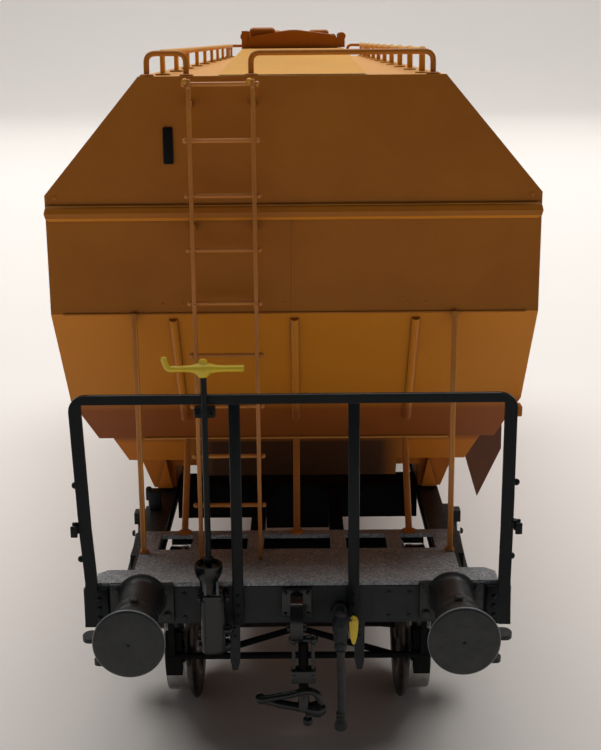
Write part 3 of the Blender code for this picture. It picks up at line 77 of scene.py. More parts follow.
class Nodes:
    """A short hand for building one material's node tree."""

    def __init__(self, name):
        self.material = bpy.data.materials.new(name)
        self.material.use_nodes = True
        self.tree = self.material.node_tree
        self.shader = self.tree.nodes["Principled BSDF"]
        self.place = self.node("ShaderNodeTexCoord").outputs["Object"]

    def node(self, kind, inputs=None, **values):
        item = self.tree.nodes.new(kind)
        for key, value in values.items():
            setattr(item, key, value)
        for key, value in (inputs or {}).items():
            self.feed(item.inputs[key], value)
        return item

    def feed(self, socket, value):
        """Links a socket, or sets a colour or a number."""
        if isinstance(value, bpy.types.NodeSocket):
            self.tree.links.new(value, socket)
        elif isinstance(value, tuple):
            socket.default_value = (*value, 1.0)
        else:
            socket.default_value = value

    def finish(self, inputs):
        for key, value in inputs.items():
            self.feed(self.shader.inputs[key], value)
        return self.material

    def noise(self, scale, detail=3.0, roughness=0.55):
        inputs = {"Scale": scale, "Detail": detail, "Roughness": roughness, "Vector": self.place}
        return self.node("ShaderNodeTexNoise", inputs).outputs["Fac"]

    def ramp(self, source, low, high, low_value=0.0, high_value=1.0):
        inputs = {"From Min": low, "From Max": high, "To Min": low_value, "To Max": high_value}
        return self.node("ShaderNodeMapRange", {**inputs, "Value": source}).outputs["Result"]

    def mix(self, factor, first, second):
        inputs = {"Factor": factor, "A": first, "B": second}
        return self.node("ShaderNodeMix", inputs, data_type="RGBA", blend_type="MIX").outputs["Result"]

    def math(self, operation, first, second=0.0):
        return self.node("ShaderNodeMath", {0: first, 1: second}, operation=operation).outputs["Value"]

    def split(self, source):
        return self.node("ShaderNodeSeparateXYZ", {0: source}).outputs

    def normal(self):
        return self.split(self.node("ShaderNodeNewGeometry").outputs["True Normal"])

    def edges(self, radius):
        """1 along sharp edges and 0 on flat areas, and the softened normal."""
        bevel = self.node("ShaderNodeBevel", {"Radius": radius}, samples=EDGE_SAMPLES).outputs["Normal"]
        flat = self.node("ShaderNodeNewGeometry").outputs["Normal"]
        dot = self.node("ShaderNodeVectorMath", {0: bevel, 1: flat}, operation="DOT_PRODUCT")
        return self.ramp(dot.outputs["Value"], *EDGE_FACING), bevel

    def hollows(self, distance):
        """1 in crevices, 0 in the open."""
        shade = self.node("ShaderNodeAmbientOcclusion", {"Distance": distance}, samples=HOLLOW_SAMPLES)
        return self.ramp(shade.outputs["AO"], *HOLLOW_OPENNESS)

    def facing_end(self, normal):
        return self.ramp(self.math("ABSOLUTE", normal["Y"]), *END_FACING)

    def end_light_band(self, levels, half_width):
        """1 below a level on the sheets that face an end, within a width across, 0 elsewhere."""
        place = self.split(self.place)
        low = self.ramp(place["Z"], levels[1], levels[0], 1.0, 0.0)
        inside = self.ramp(self.math("ABSOLUTE", place["X"]), half_width * 1.15, half_width * 0.85)
        return self.math("MULTIPLY", self.math("MULTIPLY", low, self.facing_end(self.normal())), inside)

    def sloped_end(self):
        """1 on the sheets that slope in below the end panel, 0 elsewhere."""
        normal = self.normal()
        return self.math("MULTIPLY", self.facing_end(normal), self.ramp(normal["Z"], *UNDER_FACING))

    def facing_up(self, level):
        """1 on surfaces that face up above a level, 0 elsewhere."""
        high = self.ramp(self.split(self.place)["Z"], level, level + ROOF_LIGHT_FADE)
        return self.math("MULTIPLY", high, self.ramp(self.normal()["Z"], *ROOF_FACING))

    def bump(self, height, strength, distance, normal=None):
        inputs = {"Strength": strength, "Distance": distance, "Height": height}
        if normal:
            inputs["Normal"] = normal
        return self.node("ShaderNodeBump", inputs).outputs["Normal"]


def end_painted_light(nodes, color):
    """The hopper body's end sheets, with painted light and shade: a lighter slope, a painted shadow that
    makes the sheet's foot brown, painted light on the faces below its foot and painted shade in the dark
    recess below it.
    """
    color = nodes.mix(nodes.sloped_end(), color, SLOPED_SHEET_PAINTED_LIGHT_COLOR)
    for levels, half_width, painted_color in (
            (SHEET_SHADE_LEVELS, SHEET_HALF_WIDTH, SHEET_PAINTED_SHADE_COLOR),
            (FOOT_LIGHT_AND_SHADE_LEVELS, SHEET_HALF_WIDTH, FOOT_PAINTED_LIGHT_COLOR),
            (FOOT_LIGHT_AND_SHADE_LEVELS, RECESS_HALF_WIDTH, RECESS_PAINTED_SHADE_COLOR)):
        color = nodes.mix(nodes.end_light_band(levels, half_width), color, painted_color)
    return color


def painted(name, base, shade, light, rough, grain, edge=0.5, crevice_shade=0.6, radius=0.05, specular=0.5,
            roof=None, end_light_and_shade=False):
    """Paint on a moulded part: cloudy colour, painted shade in crevices, light edges that are partly wear and
    partly painted highlight, and a fine orange peel.
    """
    nodes = Nodes(name)
    cloud = nodes.noise(160, 4)
    fine = nodes.noise(5200, 2)
    speck = nodes.noise(2100, 3, 0.7)
    color = nodes.mix(nodes.ramp(cloud, 0.35, 0.7), base, shade)
    # Painted light on upward faces high on the body
    if roof:
        color = nodes.mix(nodes.facing_up(ROOF_LIGHT_LEVEL), color, roof)
    # Painted light and shade on the hopper body's end sheets
    if end_light_and_shade:
        color = end_painted_light(nodes, color)
    edge_mask, soft_normal = nodes.edges(radius * MM)
    # Painted shade: darker colour in crevices, from an occlusion mask
    hollow = nodes.math("MULTIPLY", nodes.hollows(PAINT_HOLLOW), crevice_shade)
    color = nodes.mix(hollow, color, tuple(value * 0.25 for value in shade))
    # Lighter sharp edges, partly wear and partly painted highlight
    edge_wear_and_highlight = nodes.math("MULTIPLY", edge_mask, nodes.ramp(speck, 0.3, 0.6, edge * 0.6, edge))
    color = nodes.mix(edge_wear_and_highlight, color, light)
    return nodes.finish({
        "Base Color": color,
        "Roughness": nodes.ramp(speck, 0.3, 0.7, *rough),
        "Specular IOR Level": specular,
        "Normal": nodes.bump(fine, 0.25, grain * MM, soft_normal)})


def gritty(name):
    """A walkway surface with light and dark grains in it."""
    nodes = Nodes(name)
    grain = nodes.node("ShaderNodeTexVoronoi", {"Scale": 6500, "Vector": nodes.place})
    cloud = nodes.noise(420, 4)
    speck = nodes.noise(7000, 2, 0.7)
    color = nodes.mix(nodes.ramp(cloud, 0.35, 0.7), (0.37, 0.40, 0.43), (0.25, 0.265, 0.28))
    color = nodes.mix(nodes.ramp(speck, 0.56, 0.66), color, (0.62, 0.61, 0.59))
    color = nodes.mix(nodes.ramp(speck, 0.42, 0.34), color, (0.17, 0.175, 0.18))
    return nodes.finish({
        "Base Color": color,
        "Roughness": nodes.ramp(speck, 0.3, 0.7, 0.95, 0.6),
        "Normal": nodes.bump(grain.outputs["Distance"], 0.9, 0.07 * MM)})


def metal(name, base, dark, rough):
    """Turned metal, cloudy, with painted shade that darkens its hollows."""
    nodes = Nodes(name)
    cloud = nodes.noise(900, 4)
    fine = nodes.noise(9000, 2)
    color = nodes.mix(nodes.ramp(cloud, 0.35, 0.65), base, dark)
    # Painted shade in the hollows
    color = nodes.mix(nodes.hollows(METAL_HOLLOW), color, tuple(value * 0.3 for value in dark))
    return nodes.finish({
        "Base Color": color,
        "Metallic": 1.0,
        "Roughness": nodes.ramp(cloud, 0.3, 0.7, *rough),
        "Normal": nodes.bump(fine, 0.2, 0.006 * MM)})


ORANGE = painted(
    "orange_paint", (0.50, 0.165, 0.010), (0.42, 0.13, 0.007), (0.85, 0.42, 0.08),
    rough=(0.42, 0.55), grain=0.010, edge=0.6, specular=0.25)
TRIM = painted(
    "trim_paint", (0.60, 0.225, 0.040), (0.48, 0.165, 0.026), (0.90, 0.52, 0.20),
    rough=(0.36, 0.48), grain=0.006, edge=0.7, crevice_shade=0.5, radius=0.04, specular=0.4)
# The hopper body, with painted light on its upward faces high up and painted light and shade on its end
# sheets
BODY = painted(
    "body_paint", (0.43, 0.142, 0.008), (0.37, 0.118, 0.006), (0.80, 0.38, 0.07),
    rough=(0.42, 0.55), grain=0.010, edge=0.6, specular=0.25, roof=(0.63, 0.29, 0.055), end_light_and_shade=True)
# A lighter, slightly yellower copy of the orange paint: painted light on the parts on top and the ladder's
# caps
LIT_ORANGE = painted(
    "lit_orange_paint", (0.68, 0.32, 0.016), (0.60, 0.27, 0.012), (0.90, 0.60, 0.20),
    rough=(0.40, 0.52), grain=0.010, crevice_shade=0.5, specular=0.3)
CAST = painted(
    "cast_frame_paint", (0.017, 0.020, 0.021), (0.008, 0.010, 0.011), (0.095, 0.10, 0.10),
    rough=(0.36, 0.60), grain=0.05, specular=0.4)
GREY = painted(
    "frame_paint", (0.014, 0.018, 0.021), (0.010, 0.013, 0.016), (0.070, 0.080, 0.088),
    rough=(0.40, 0.58), grain=0.014, crevice_shade=0.7, specular=0.3)
HANDLE = painted(
    "handle_paint", (0.84, 0.60, 0.02), (0.62, 0.43, 0.015), (0.98, 0.84, 0.35),
    rough=(0.35, 0.5), grain=0.008, edge=0.4)
# A darkened copy of the orange paint, painted shade on the side plates
SHADED_ORANGE = painted(
    "shaded_orange_paint", (0.19, 0.055, 0.012), (0.14, 0.04, 0.009), (0.24, 0.10, 0.04),
    rough=(0.45, 0.6), grain=0.012, edge=0.4)
# A light grey for painted highlights on dark parts: the buffer rims, the gear housing's slits and the end
# rail's top
HIGHLIGHT_GREY = painted(
    "painted_highlight_grey", (0.13, 0.14, 0.15), (0.09, 0.10, 0.11), (0.30, 0.31, 0.32),
    rough=(0.3, 0.45), grain=0.008, crevice_shade=0.3)
GLOSS = painted(
    "oiled_black_paint", (0.006, 0.007, 0.008), (0.004, 0.005, 0.006), (0.030, 0.032, 0.034),
    rough=(0.18, 0.28), grain=0.004, edge=0.3, crevice_shade=0.7, radius=0.03, specular=0.4)
RAIL_BLACK = painted(
    "rail_paint", (0.006, 0.009, 0.011), (0.004, 0.006, 0.008), (0.070, 0.085, 0.095),
    rough=(0.30, 0.42), grain=0.006, edge=0.7, crevice_shade=0.5, radius=0.04, specular=0.15)
# A near-black: the bare plate's own black, and a darker copy of the frame paint as painted shade on the parts
# under the body
NEAR_BLACK_AND_SHADE = painted(
    "near_black_paint_and_shade", (0.005, 0.006, 0.0065), (0.003, 0.0035, 0.004), (0.020, 0.022, 0.024),
    rough=(0.6, 0.8), grain=0.012, edge=0.3, specular=0.15)
# A light orange for thin strips of painted highlight on edges
HIGHLIGHT_ORANGE = painted(
    "painted_highlight_orange", (0.74, 0.33, 0.06), (0.62, 0.25, 0.04), (0.9, 0.55, 0.2),
    rough=(0.4, 0.5), grain=0.008, edge=0.4, crevice_shade=0.2, specular=0.3)
RUBBER = painted(
    "hose_rubber", (0.018, 0.019, 0.020), (0.012, 0.013, 0.014), (0.06, 0.06, 0.062),
    rough=(0.5, 0.7), grain=0.012, edge=0.2, crevice_shade=0.4)
DECK = gritty("deck_grit")
WHEEL = metal("wheel_metal", (0.10, 0.085, 0.075), (0.055, 0.045, 0.04), (0.4, 0.55))
TREAD = metal("tread_metal", (0.55, 0.54, 0.52), (0.42, 0.41, 0.40), (0.16, 0.3))

NODE_MATERIALS = (
    (BODY, ("hopper_body",)),
    (ORANGE, ("hopper_cone", "ladder", "end_strut", "flat_strut", "roof_hoop")),
    # Parts on top get the lighter orange as painted light
    (LIT_ORANGE, ("roof_coaming", "hatch_cover", "roof_rail")),
    (DECK, ("deck",)),
    # Parts under the body get the near-black as painted shade
    (NEAR_BLACK_AND_SHADE, ("bolster", "brake_gear")),
    (HANDLE, ("brake_crank", "hose_cock_handle")),
    (SHADED_ORANGE, ("side_plate",)),
    (WHEEL, ("wheelset",)),
)


def node_material(name):
    for material, starts in NODE_MATERIALS:
        if name.startswith(starts):
            return material
    return GREY


# Forms, drawn in an end's own places in millimetres: x across, y behind the buffer faces, z above the rails

AXES = {"x": 0, "y": 1, "z": 2}
SIDES = (-1, 1)
SHARP_ANGLE = math.radians(38)
BEVELLED_ANGLE = 0.4
CORNER_STEPS = 6
BALL_STEPS = 10
RIVET_PROFILE = ((-0.05, 1.0), (0.35, 1.0), (0.75, 0.75), (0.95, 0.4), (1.0, 0.12))
WASHER_PROFILE = ((-0.04, 1.25), (0.06, 1.25), (0.08, 1.1))
BAR_END_SHARE = 0.55


def turned_corner(before, corner, after, radius):
    """Points that round one corner of a path."""
    start = corner + (before - corner).normalized() * min(radius, (before - corner).length * 0.49)
    stop = corner + (after - corner).normalized() * min(radius, (after - corner).length * 0.49)
    points = []
    for index in range(CORNER_STEPS + 1):
        share = index / CORNER_STEPS
        points.append(start * (1 - share) ** 2 + corner * (2 * share * (1 - share)) + stop * share ** 2)
    return points


def bend(points, radius):
    """A path with its inner corners rounded."""
    points = [Vector(point) for point in points]
    path = [points[0]]
    for before, corner, after in zip(points, points[1:], points[2:]):
        path += turned_corner(before, corner, after, radius)
    return path + [points[-1]]


def mirrored(outline, side):
    """An outline with its places across set on one side."""
    return [(side * across, other) for across, other in outline]


class Form:
    """One piece's mesh, built up from softened blocks, bars, plates and turned shapes."""

    def __init__(self):
        self.mesh = bmesh.new()

    def soften(self, verts, bevel, segments):
        # A dict and not a set, because a set's order changes from run to run
        edges = dict.fromkeys(edge for vert in verts for edge in vert.link_edges)
        sharp = [edge for edge in edges if edge.calc_face_angle(0) > BEVELLED_ANGLE]
        bmesh.ops.bevel(
            self.mesh, geom=sharp, offset=bevel, segments=segments, profile=0.5,
            affect="EDGES", clamp_overlap=True)

    def box(self, low, high, bevel=0.05, segments=2):
        verts = bmesh.ops.create_cube(self.mesh, size=1)["verts"]
        low, high = Vector(low), Vector(high)
        for vert in verts:
            vert.co = Vector([low[i] + (high[i] - low[i]) * (vert.co[i] + 0.5) for i in range(3)])
        self.soften(verts, bevel, segments)

    def plate(self, outline, axis, start, stop, bevel=0.05, segments=2):
        """A flat piece: its outline in the two other axes, from start to stop along axis."""
        place = AXES[axis]
        rings = []
        for level in (start, stop):
            ring = []
            for pair in outline:
                spot = list(pair)
                spot.insert(place, level)
                ring.append(self.mesh.verts.new(spot))
            rings.append(ring)
        self.skin(rings)
        self.close(rings)
        self.soften(rings[0] + rings[1], bevel, segments)

    def skin(self, rings):
        for low, high in zip(rings, rings[1:]):
            for index in range(len(low)):
                after = (index + 1) % len(low)
                self.mesh.faces.new((low[index], low[after], high[after], high[index]))

    def close(self, rings):
        self.mesh.faces.new(rings[0][::-1])
        self.mesh.faces.new(rings[-1])

    def bar(self, points, radius, sides=14, flat=1.0, dome=0.35):
        """A bar along a path, with soft ends. Radius is one number or one a point, flat squeezes it."""
        points = [Vector(point) for point in points]
        radii = [radius] * len(points) if isinstance(radius, (int, float)) else list(radius)
        start = (points[0] - points[1]).normalized() * radii[0] * dome
        stop = (points[-1] - points[-2]).normalized() * radii[-1] * dome
        points = [points[0] + start] + points + [points[-1] + stop]
        radii = [radii[0] * BAR_END_SHARE] + radii + [radii[-1] * BAR_END_SHARE]
        rings = []
        side = None
        for index, point in enumerate(points):
            ahead = (points[min(index + 1, len(points) - 1)] - points[max(index - 1, 0)]).normalized()
            if side is None:
                side = Vector((0, 0, 1)).cross(ahead)
                side = side.normalized() if side.length > 0.1 else Vector((1, 0, 0))
            side = (side - ahead * side.dot(ahead)).normalized()
            rise = ahead.cross(side)
            ring = []
            for step in range(sides):
                angle = 2 * math.pi * step / sides
                reach = side * math.cos(angle) + rise * math.sin(angle) * flat
                ring.append(self.mesh.verts.new(point + reach * radii[index]))
            rings.append(ring)
        self.skin(rings)
        self.close(rings)

    def turn(self, profile, centre, axis, sides=40, ring=False):
        """A turned shape: pairs of place along the axis and radius, from centre. A ring is open inside."""
        place = AXES[axis]
        rows = []
        for along, radius in profile:
            row = []
            for step in range(sides):
                angle = 2 * math.pi * step / sides
                spot = [radius * math.cos(angle), radius * math.sin(angle)]
                spot.insert(place, along)
                row.append(self.mesh.verts.new(Vector(centre) + Vector(spot)))
            rows.append(row)
        if ring:
            self.skin(rows + rows[:1])
        else:
            self.skin(rows)
            self.close(rows)

    def ball(self, centre, radius, sides=20):
        profile = []
        for step in range(BALL_STEPS + 1):
            angle = math.pi * (step + 0.15) / (BALL_STEPS + 0.3)
            profile.append((-radius * math.cos(angle), radius * math.sin(angle)))
        self.turn(profile, centre, "z", sides)

    def rivet(self, centre, radius, height, axis="y", way=-1):
        """A domed head that stands on a surface, towards way along axis."""
        profile = [(way * height * rise, radius * width) for rise, width in RIVET_PROFILE]
        self.turn(profile, centre, axis, 14)

    def bolt(self, centre, radius, height, axis="y", way=-1):
        """A six-sided head on a round washer."""
        self.turn([(way * rise, radius * width) for rise, width in WASHER_PROFILE], centre, axis, 16)
        head = [(0.0, 1.0), (height * 0.85, 1.0), (height, 0.82)]
        self.turn([(way * rise, radius * width) for rise, width in head], centre, axis, 6)

    def emit(self, name, material, body="wagon", ends=("front", "rear"), replaces=()):
        """Puts the form at the front, and turned half round at the rear, on a body each."""
        bmesh.ops.recalc_face_normals(self.mesh, faces=self.mesh.faces)
        bmesh.ops.transform(self.mesh, matrix=Matrix.Scale(MM, 4), verts=self.mesh.verts)
        bmesh.ops.translate(self.mesh, vec=(0, -HALF_LENGTH, RAIL_LEVEL), verts=self.mesh.verts)
        for end in ends:
            piece_name = f"{name}_{end}" if len(ends) > 1 else name
            mesh = bpy.data.meshes.new(piece_name)
            self.mesh.to_mesh(mesh)
            if end == "rear":
                mesh.transform(Matrix.Rotation(math.pi, 4, "Z"))
            mesh.shade_smooth()
            mesh.set_sharp_from_angle(angle=SHARP_ANGLE)
            mesh.materials.append(material)
            piece = bpy.data.objects.new(piece_name, mesh)
            bpy.context.scene.collection.objects.link(piece)
            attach(piece, body.format(end=end))
            if replaces:
                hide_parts(*[node.format(end=end) for node in replaces])
        self.mesh.free()


# Levels and places that several pieces share

DECK_TOP = 13.0
HEADSTOCK_FRONT = 7.1
HEADSTOCK_FOOT = 10.1
RAIL_FRONT = 6.62
PANEL_FRONT = 12.4
STRUT_PLACES = (-8, 0, 8)
ROOF_LEVEL = 44.9
ROOF_BAR_LEVEL = 46.3


# Buffers

BUFFER_X = 10.06
BUFFER_Z = 12.07
BUFFER_SIDES = 56
BUFFER_PROFILE = (
    (0.22, 0.02), (0.20, 0.08), (0.03, 0.13), (0.01, 0.30), (0.015, 1.20), (0.03, 2.02), (0.05, 2.11),
    (0.10, 2.17), (0.17, 2.195), (0.27, 2.19), (0.35, 2.12), (0.40, 1.95), (0.46, 1.30), (0.62, 1.02),
    (0.85, 0.92), (1.66, 0.90), (1.68, 1.10), (1.74, 1.32), (1.84, 1.38), (2.90, 1.39), (2.98, 1.35),
    (3.08, 1.35), (3.16, 1.39), (3.86, 1.40), (3.96, 1.34), (4.02, 1.27), (4.10, 1.30), (6.20, 1.33),
    (6.45, 1.38), (6.62, 1.50), (6.72, 1.62), (6.85, 1.64))
BUFFER_RIM = ((0.075, 2.11), (0.09, 2.16), (0.13, 2.2), (0.19, 2.21), (0.22, 2.16))
BUFFER_DIMPLE = ((-0.01, 0.14), (0.03, 0.14), (0.1, 0.05))
BUFFER_DIMPLE_Y = 0.1
BUFFER_OILER = ((-0.03, 0.3), (0.12, 0.3), (0.18, 0.24), (0.2, 0.12))
BUFFER_OILER_Y = 3.1
BUFFER_OILER_RISE = 1.5
BUFFER_PLATE_HALF_WIDTH = 2.1
BUFFER_PLATE_Y = (6.75, 7.12)
BUFFER_PLATE_Z = (10.35, 12.98)
BUFFER_BOLT_X = 1.68
BUFFER_BOLT_LEVELS = (10.82, 12.58)


def buffer_forms():
    body, plugs, rims = Form(), Form(), Form()
    for side in SIDES:
        x = side * BUFFER_X
        across = (x - BUFFER_PLATE_HALF_WIDTH, x + BUFFER_PLATE_HALF_WIDTH)
        low, high = zip(across, BUFFER_PLATE_Y, BUFFER_PLATE_Z)
        body.turn(BUFFER_PROFILE, (x, 0, BUFFER_Z), "y", BUFFER_SIDES)
        body.box(low, high, 0.1, 3)
        for across in SIDES:
            for level in BUFFER_BOLT_LEVELS:
                body.bolt((x + across * BUFFER_BOLT_X, BUFFER_PLATE_Y[0], level), 0.26, 0.22)
        # A light ring of painted highlight on the buffer head's rim
        rims.turn(BUFFER_RIM, (x, 0, BUFFER_Z), "y", BUFFER_SIDES, ring=True)
        # A dark disc in the head's dimple, painted shade
        plugs.turn(BUFFER_DIMPLE, (x, BUFFER_DIMPLE_Y, BUFFER_Z), "y", 18)
        plugs.turn(BUFFER_OILER, (x, BUFFER_OILER_Y, BUFFER_Z + BUFFER_OILER_RISE), "z", 18)
    body.emit("buffers", CAST, replaces=("buffer_{end}_left", "buffer_{end}_right"))
    plugs.emit("buffer_dimple_shades_and_oilers", RUBBER)
    rims.emit("buffer_rims", HIGHLIGHT_GREY)


# Draw hook and screw coupling

HOOK_OUTLINE = (
    (7.05, 12.25), (5.75, 12.25), (5.35, 12.15), (5.12, 11.90), (4.95, 11.55), (4.70, 11.32), (4.40, 11.28),
    (4.12, 11.42), (3.98, 11.72), (3.95, 12.15), (3.90, 12.55), (3.74, 12.83), (3.48, 12.88), (3.22, 12.66),
    (3.02, 12.22), (2.92, 11.66), (2.98, 11.12), (3.24, 10.68), (3.70, 10.40), (4.30, 10.30), (4.95, 10.42),
    (5.45, 10.74), (5.90, 10.92), (7.05, 10.95))
HOOK_HALF_WIDTH = 0.4
HOOK_PLATE = ((-1.0, 6.8, 10.6), (1.0, 7.1, 12.6))
HOOK_PLATE_MIDDLE = 11.6
HOOK_RIVET_REACH = 0.76
HOOK_PIN = ((-0.62, 0.2), (-0.58, 0.26), (0.58, 0.26), (0.62, 0.2))
HOOK_PIN_PLACE = (0, 4.75, 10.85)
COUPLING_X = 0.4
COUPLING_Y = 4.6
LINK_SPREAD = 0.62
LINK_HALF_WIDTH = 0.11
LINK_HALF_DEPTH = 0.24
LINK_LEVELS = (10.3, 7.6)
LINK_EYES = (
    (7.66, ((-0.14, 0.4), (-0.1, 0.46), (0.1, 0.46), (0.14, 0.4))),
    (10.12, ((-0.14, 0.3), (-0.1, 0.36), (0.1, 0.36), (0.14, 0.3))))
LINK_PIN_LEVEL = 10.12
LINK_PIN_REACH = 0.85
THREAD_FOOT = 6.35
THREAD_PITCH = 0.125
THREAD_TURNS = 29
THREAD_RADII = (0.25, 0.33)
NUT_REACH = (0.8, 0.42)
NUT_LEVELS = (7.18, 8.12)
SCREW_BOSS = ((5.1, 0.2), (5.2, 0.4), (6.1, 0.4), (6.3, 0.3), (6.4, 0.3))
LEVER = (
    (-2.62, 5.98, 0.26), (-2.4, 5.96, 0.36), (-2.05, 5.86, 0.28), (-1.2, 5.6, 0.27), (-0.2, 5.4, 0.28),
    (0.6, 5.25, 0.34), (1.05, 5.2, 0.5), (1.4, 5.2, 0.55), (1.7, 5.25, 0.36))
BOW = ((-2.3, 0.1, 5.96), (-0.6, 0.2, 6.3), (0.7, 0.2, 6.68), (1.35, 0.1, 6.3), (1.5, 0.0, 5.4))
WEIGHT_OFFSET = 0.25
WEIGHT_LEVELS = (5.2, 4.6, 4.36)


def draw_hook_form():
    hook = Form()
    hook.plate(HOOK_OUTLINE, "x", -HOOK_HALF_WIDTH, HOOK_HALF_WIDTH, 0.16, 3)
    hook.box(*HOOK_PLATE, 0.1, 2)
    for across in SIDES:
        for rise in SIDES:
            spot = (across * HOOK_RIVET_REACH, HOOK_PLATE[0][1], HOOK_PLATE_MIDDLE + rise * HOOK_RIVET_REACH)
            hook.rivet(spot, 0.15, 0.1)
    hook.turn(HOOK_PIN, HOOK_PIN_PLACE, "x", 18)
    hook.emit("draw_hook", GLOSS, replaces=("draw_hook_{end}",))


def coupling_form():
    links = Form()
    x, y = COUPLING_X, COUPLING_Y
    links.bar([(x - LINK_PIN_REACH, y, LINK_PIN_LEVEL), (x + LINK_PIN_REACH, y, LINK_PIN_LEVEL)], 0.24)
    for side in SIDES:
        across = x + side * LINK_SPREAD
        low, high = across - LINK_HALF_WIDTH, across + LINK_HALF_WIDTH
        top, foot = LINK_LEVELS
        outline = ((low, top), (high, top), (high, foot), (low, foot))
        links.plate(outline, "y", y - LINK_HALF_DEPTH, y + LINK_HALF_DEPTH, 0.06, 2)
        for level, profile in LINK_EYES:
            links.turn(profile, (across, y, level), "x", 22)
    thread = []
    for step in range(THREAD_TURNS):
        for rise, radius in zip((0, 0.06), THREAD_RADII):
            thread.append((THREAD_FOOT + rise + step * THREAD_PITCH, radius))
    links.turn(thread, (x, y, 0), "z", 20)
    low, high = zip((x - NUT_REACH[0], x + NUT_REACH[0]), (y - NUT_REACH[1], y + NUT_REACH[1]), NUT_LEVELS)
    links.box(low, high, 0.12, 3)
    links.turn(SCREW_BOSS, (x, y, 0), "z", 20)
    links.bar([(across, y, height) for across, height, _ in LEVER], [radius for _, _, radius in LEVER], 18)
    links.bar(bend([(across, y - forward, height) for across, forward, height in BOW], 0.5), 0.23, 16)
    x += WEIGHT_OFFSET
    top, foot, ball = WEIGHT_LEVELS
    links.bar([(x, y, top), (x, y, foot)], 0.16)
    links.ball((x, y, ball), 0.34)
    links.emit("coupling", GLOSS, replaces=("coupling_{end}",))


# Brake hose, its cock and the cock's leaf handle

HOSE_X = 2.8
HOSE_Y = 4.85
COCK_LEVEL = 11.0
COCK_NUT = ((6.75, 0.5), (6.8, 0.58), (7.05, 0.58), (7.1, 0.5))
COCK_BODY = (
    (9.3, 0.26), (9.36, 0.4), (9.62, 0.42), (9.7, 0.36), (9.86, 0.36), (9.96, 0.47), (10.5, 0.49),
    (10.62, 0.55), (11.36, 0.55), (11.5, 0.47), (11.72, 0.42), (11.82, 0.22))
COCK_SPINDLE_LEVEL = 11.35
HOSE_PATH = (
    (0, 0, 9.4), (0, 0.03, 8.4), (0.03, 0.06, 7.0), (0.04, 0.05, 5.6), (0.02, 0, 4.4), (0, -0.02, 3.9))
HOSE_CLIPS = ((9.15, 0.31), (4.75, 0.31), (4.45, 0.30))
HOSE_HEAD = ((3.55, 0.22), (3.62, 0.36), (3.8, 0.42), (4.0, 0.42), (4.16, 0.34), (4.3, 0.28))
LEAF_OUTLINE = (
    (3.42, 11.48), (3.62, 11.54), (3.82, 11.46), (3.92, 11.2), (3.9, 10.7), (3.84, 10.2), (3.74, 9.8),
    (3.62, 9.62), (3.5, 9.76), (3.42, 10.1), (3.36, 10.6), (3.33, 11.2))
LEAF_Y = (4.7, 4.98)


def hose_forms():
    x, y = HOSE_X, HOSE_Y
    cock = Form()
    cock.bar([(x, HEADSTOCK_FRONT, COCK_LEVEL), (x, y, COCK_LEVEL)], 0.32, 18)
    cock.turn(COCK_NUT, (x, 0, COCK_LEVEL), "y", 6)
    cock.turn(COCK_BODY, (x, y, 0), "z", 28)
    cock.bolt((x, y - 0.5, COCK_LEVEL), 0.22, 0.16)
    cock.bolt((x + 0.06, y - 0.42, 9.75), 0.15, 0.12)
    cock.bar([(x + 0.4, y, COCK_SPINDLE_LEVEL), (x + 0.85, y, COCK_SPINDLE_LEVEL)], 0.17)
    cock.emit("hose_cock", GREY)
    hose = Form()
    hose.bar(bend([(x + across, y + along, height) for across, along, height in HOSE_PATH], 0.6), 0.25, 20)
    for height, width in HOSE_CLIPS:
        clip = ((-0.09, width - 0.04), (-0.06, width), (0.06, width), (0.09, width - 0.04))
        hose.turn(clip, (x, y, height), "z", 20)
    hose.turn(HOSE_HEAD, (x, y, 0), "z", 24)
    hose.box((x - 0.42, y - 0.2, 3.66), (x - 0.2, y + 0.2, 4.0), 0.06, 2)
    hose.emit("brake_hose_tube", RUBBER, replaces=("brake_hose_{end}",))
    handle = Form()
    handle.plate(LEAF_OUTLINE, "y", *LEAF_Y, 0.08, 3)
    handle.rivet((3.62, LEAF_Y[0], 11.3), 0.14, 0.1)
    handle.emit("cock_leaf_handle", HANDLE, replaces=("hose_cock_handle_{end}",))


# Brake column, its gear housing and crank

COLUMN_X = -5.62
COLUMN_Y = 6.22
COLUMN_LEVELS = (13.6, 27.2)
COLUMN_COLLAR = ((14.7, 0.22), (14.76, 0.32), (15.1, 0.32), (15.16, 0.22))
COLUMN_BEARING_LEVELS = (24.3, 25.0)
HOUSING_X = -5.4
HOUSING_HALF_WIDTH = 0.78
HOUSING_LEVELS = (8.5, 13.1)
HOUSING_BOWL = (
    (12.7, 0.5), (13.7, 0.62), (14.0, 0.82), (14.4, 0.92), (14.75, 0.9), (14.8, 0.78), (14.5, 0.6),
    (14.4, 0.25))
HOUSING_STRAP_LEVELS = (9.68, 12.15)
HOUSING_SLITS = (-0.42, 0.36)
CRANK_LEVEL = 27.52
CRANK_ARMS = (
    (-2.0, 0.2), (-1.4, 0.22), (-0.8, 0.26), (-0.5, 0.36), (0, 0.46), (0.5, 0.36), (0.8, 0.27),
    (1.4, 0.24), (2.0, 0.25), (2.5, 0.25))
CRANK_HUB = (
    (27.0, 0.28), (27.1, 0.4), (27.3, 0.47), (27.62, 0.5), (27.74, 0.44), (27.82, 0.3), (27.86, 0.26),
    (28.0, 0.26), (28.1, 0.2), (28.14, 0.06))
CRANK_GRIP = ((-1.7, 27.52), (-2.2, 27.5), (-2.42, 28.2))


def brake_column_form():
    x, y = COLUMN_X, COLUMN_Y
    low, high = COLUMN_BEARING_LEVELS
    column = Form()
    column.bar([(x, y, level) for level in COLUMN_LEVELS], 0.2, 22)
    column.turn(COLUMN_COLLAR, (x, y, 0), "z", 24)
    column.box((x - 0.66, 6.3, low), (x + 0.66, 7.1, high), 0.12, 3)
    for side in SIDES:
        column.bolt((x + side * 0.45, 6.3, 24.65), 0.11, 0.08)
    column.emit("column_bar", RAIL_BLACK, ends=("front",), replaces=("brake_column",))


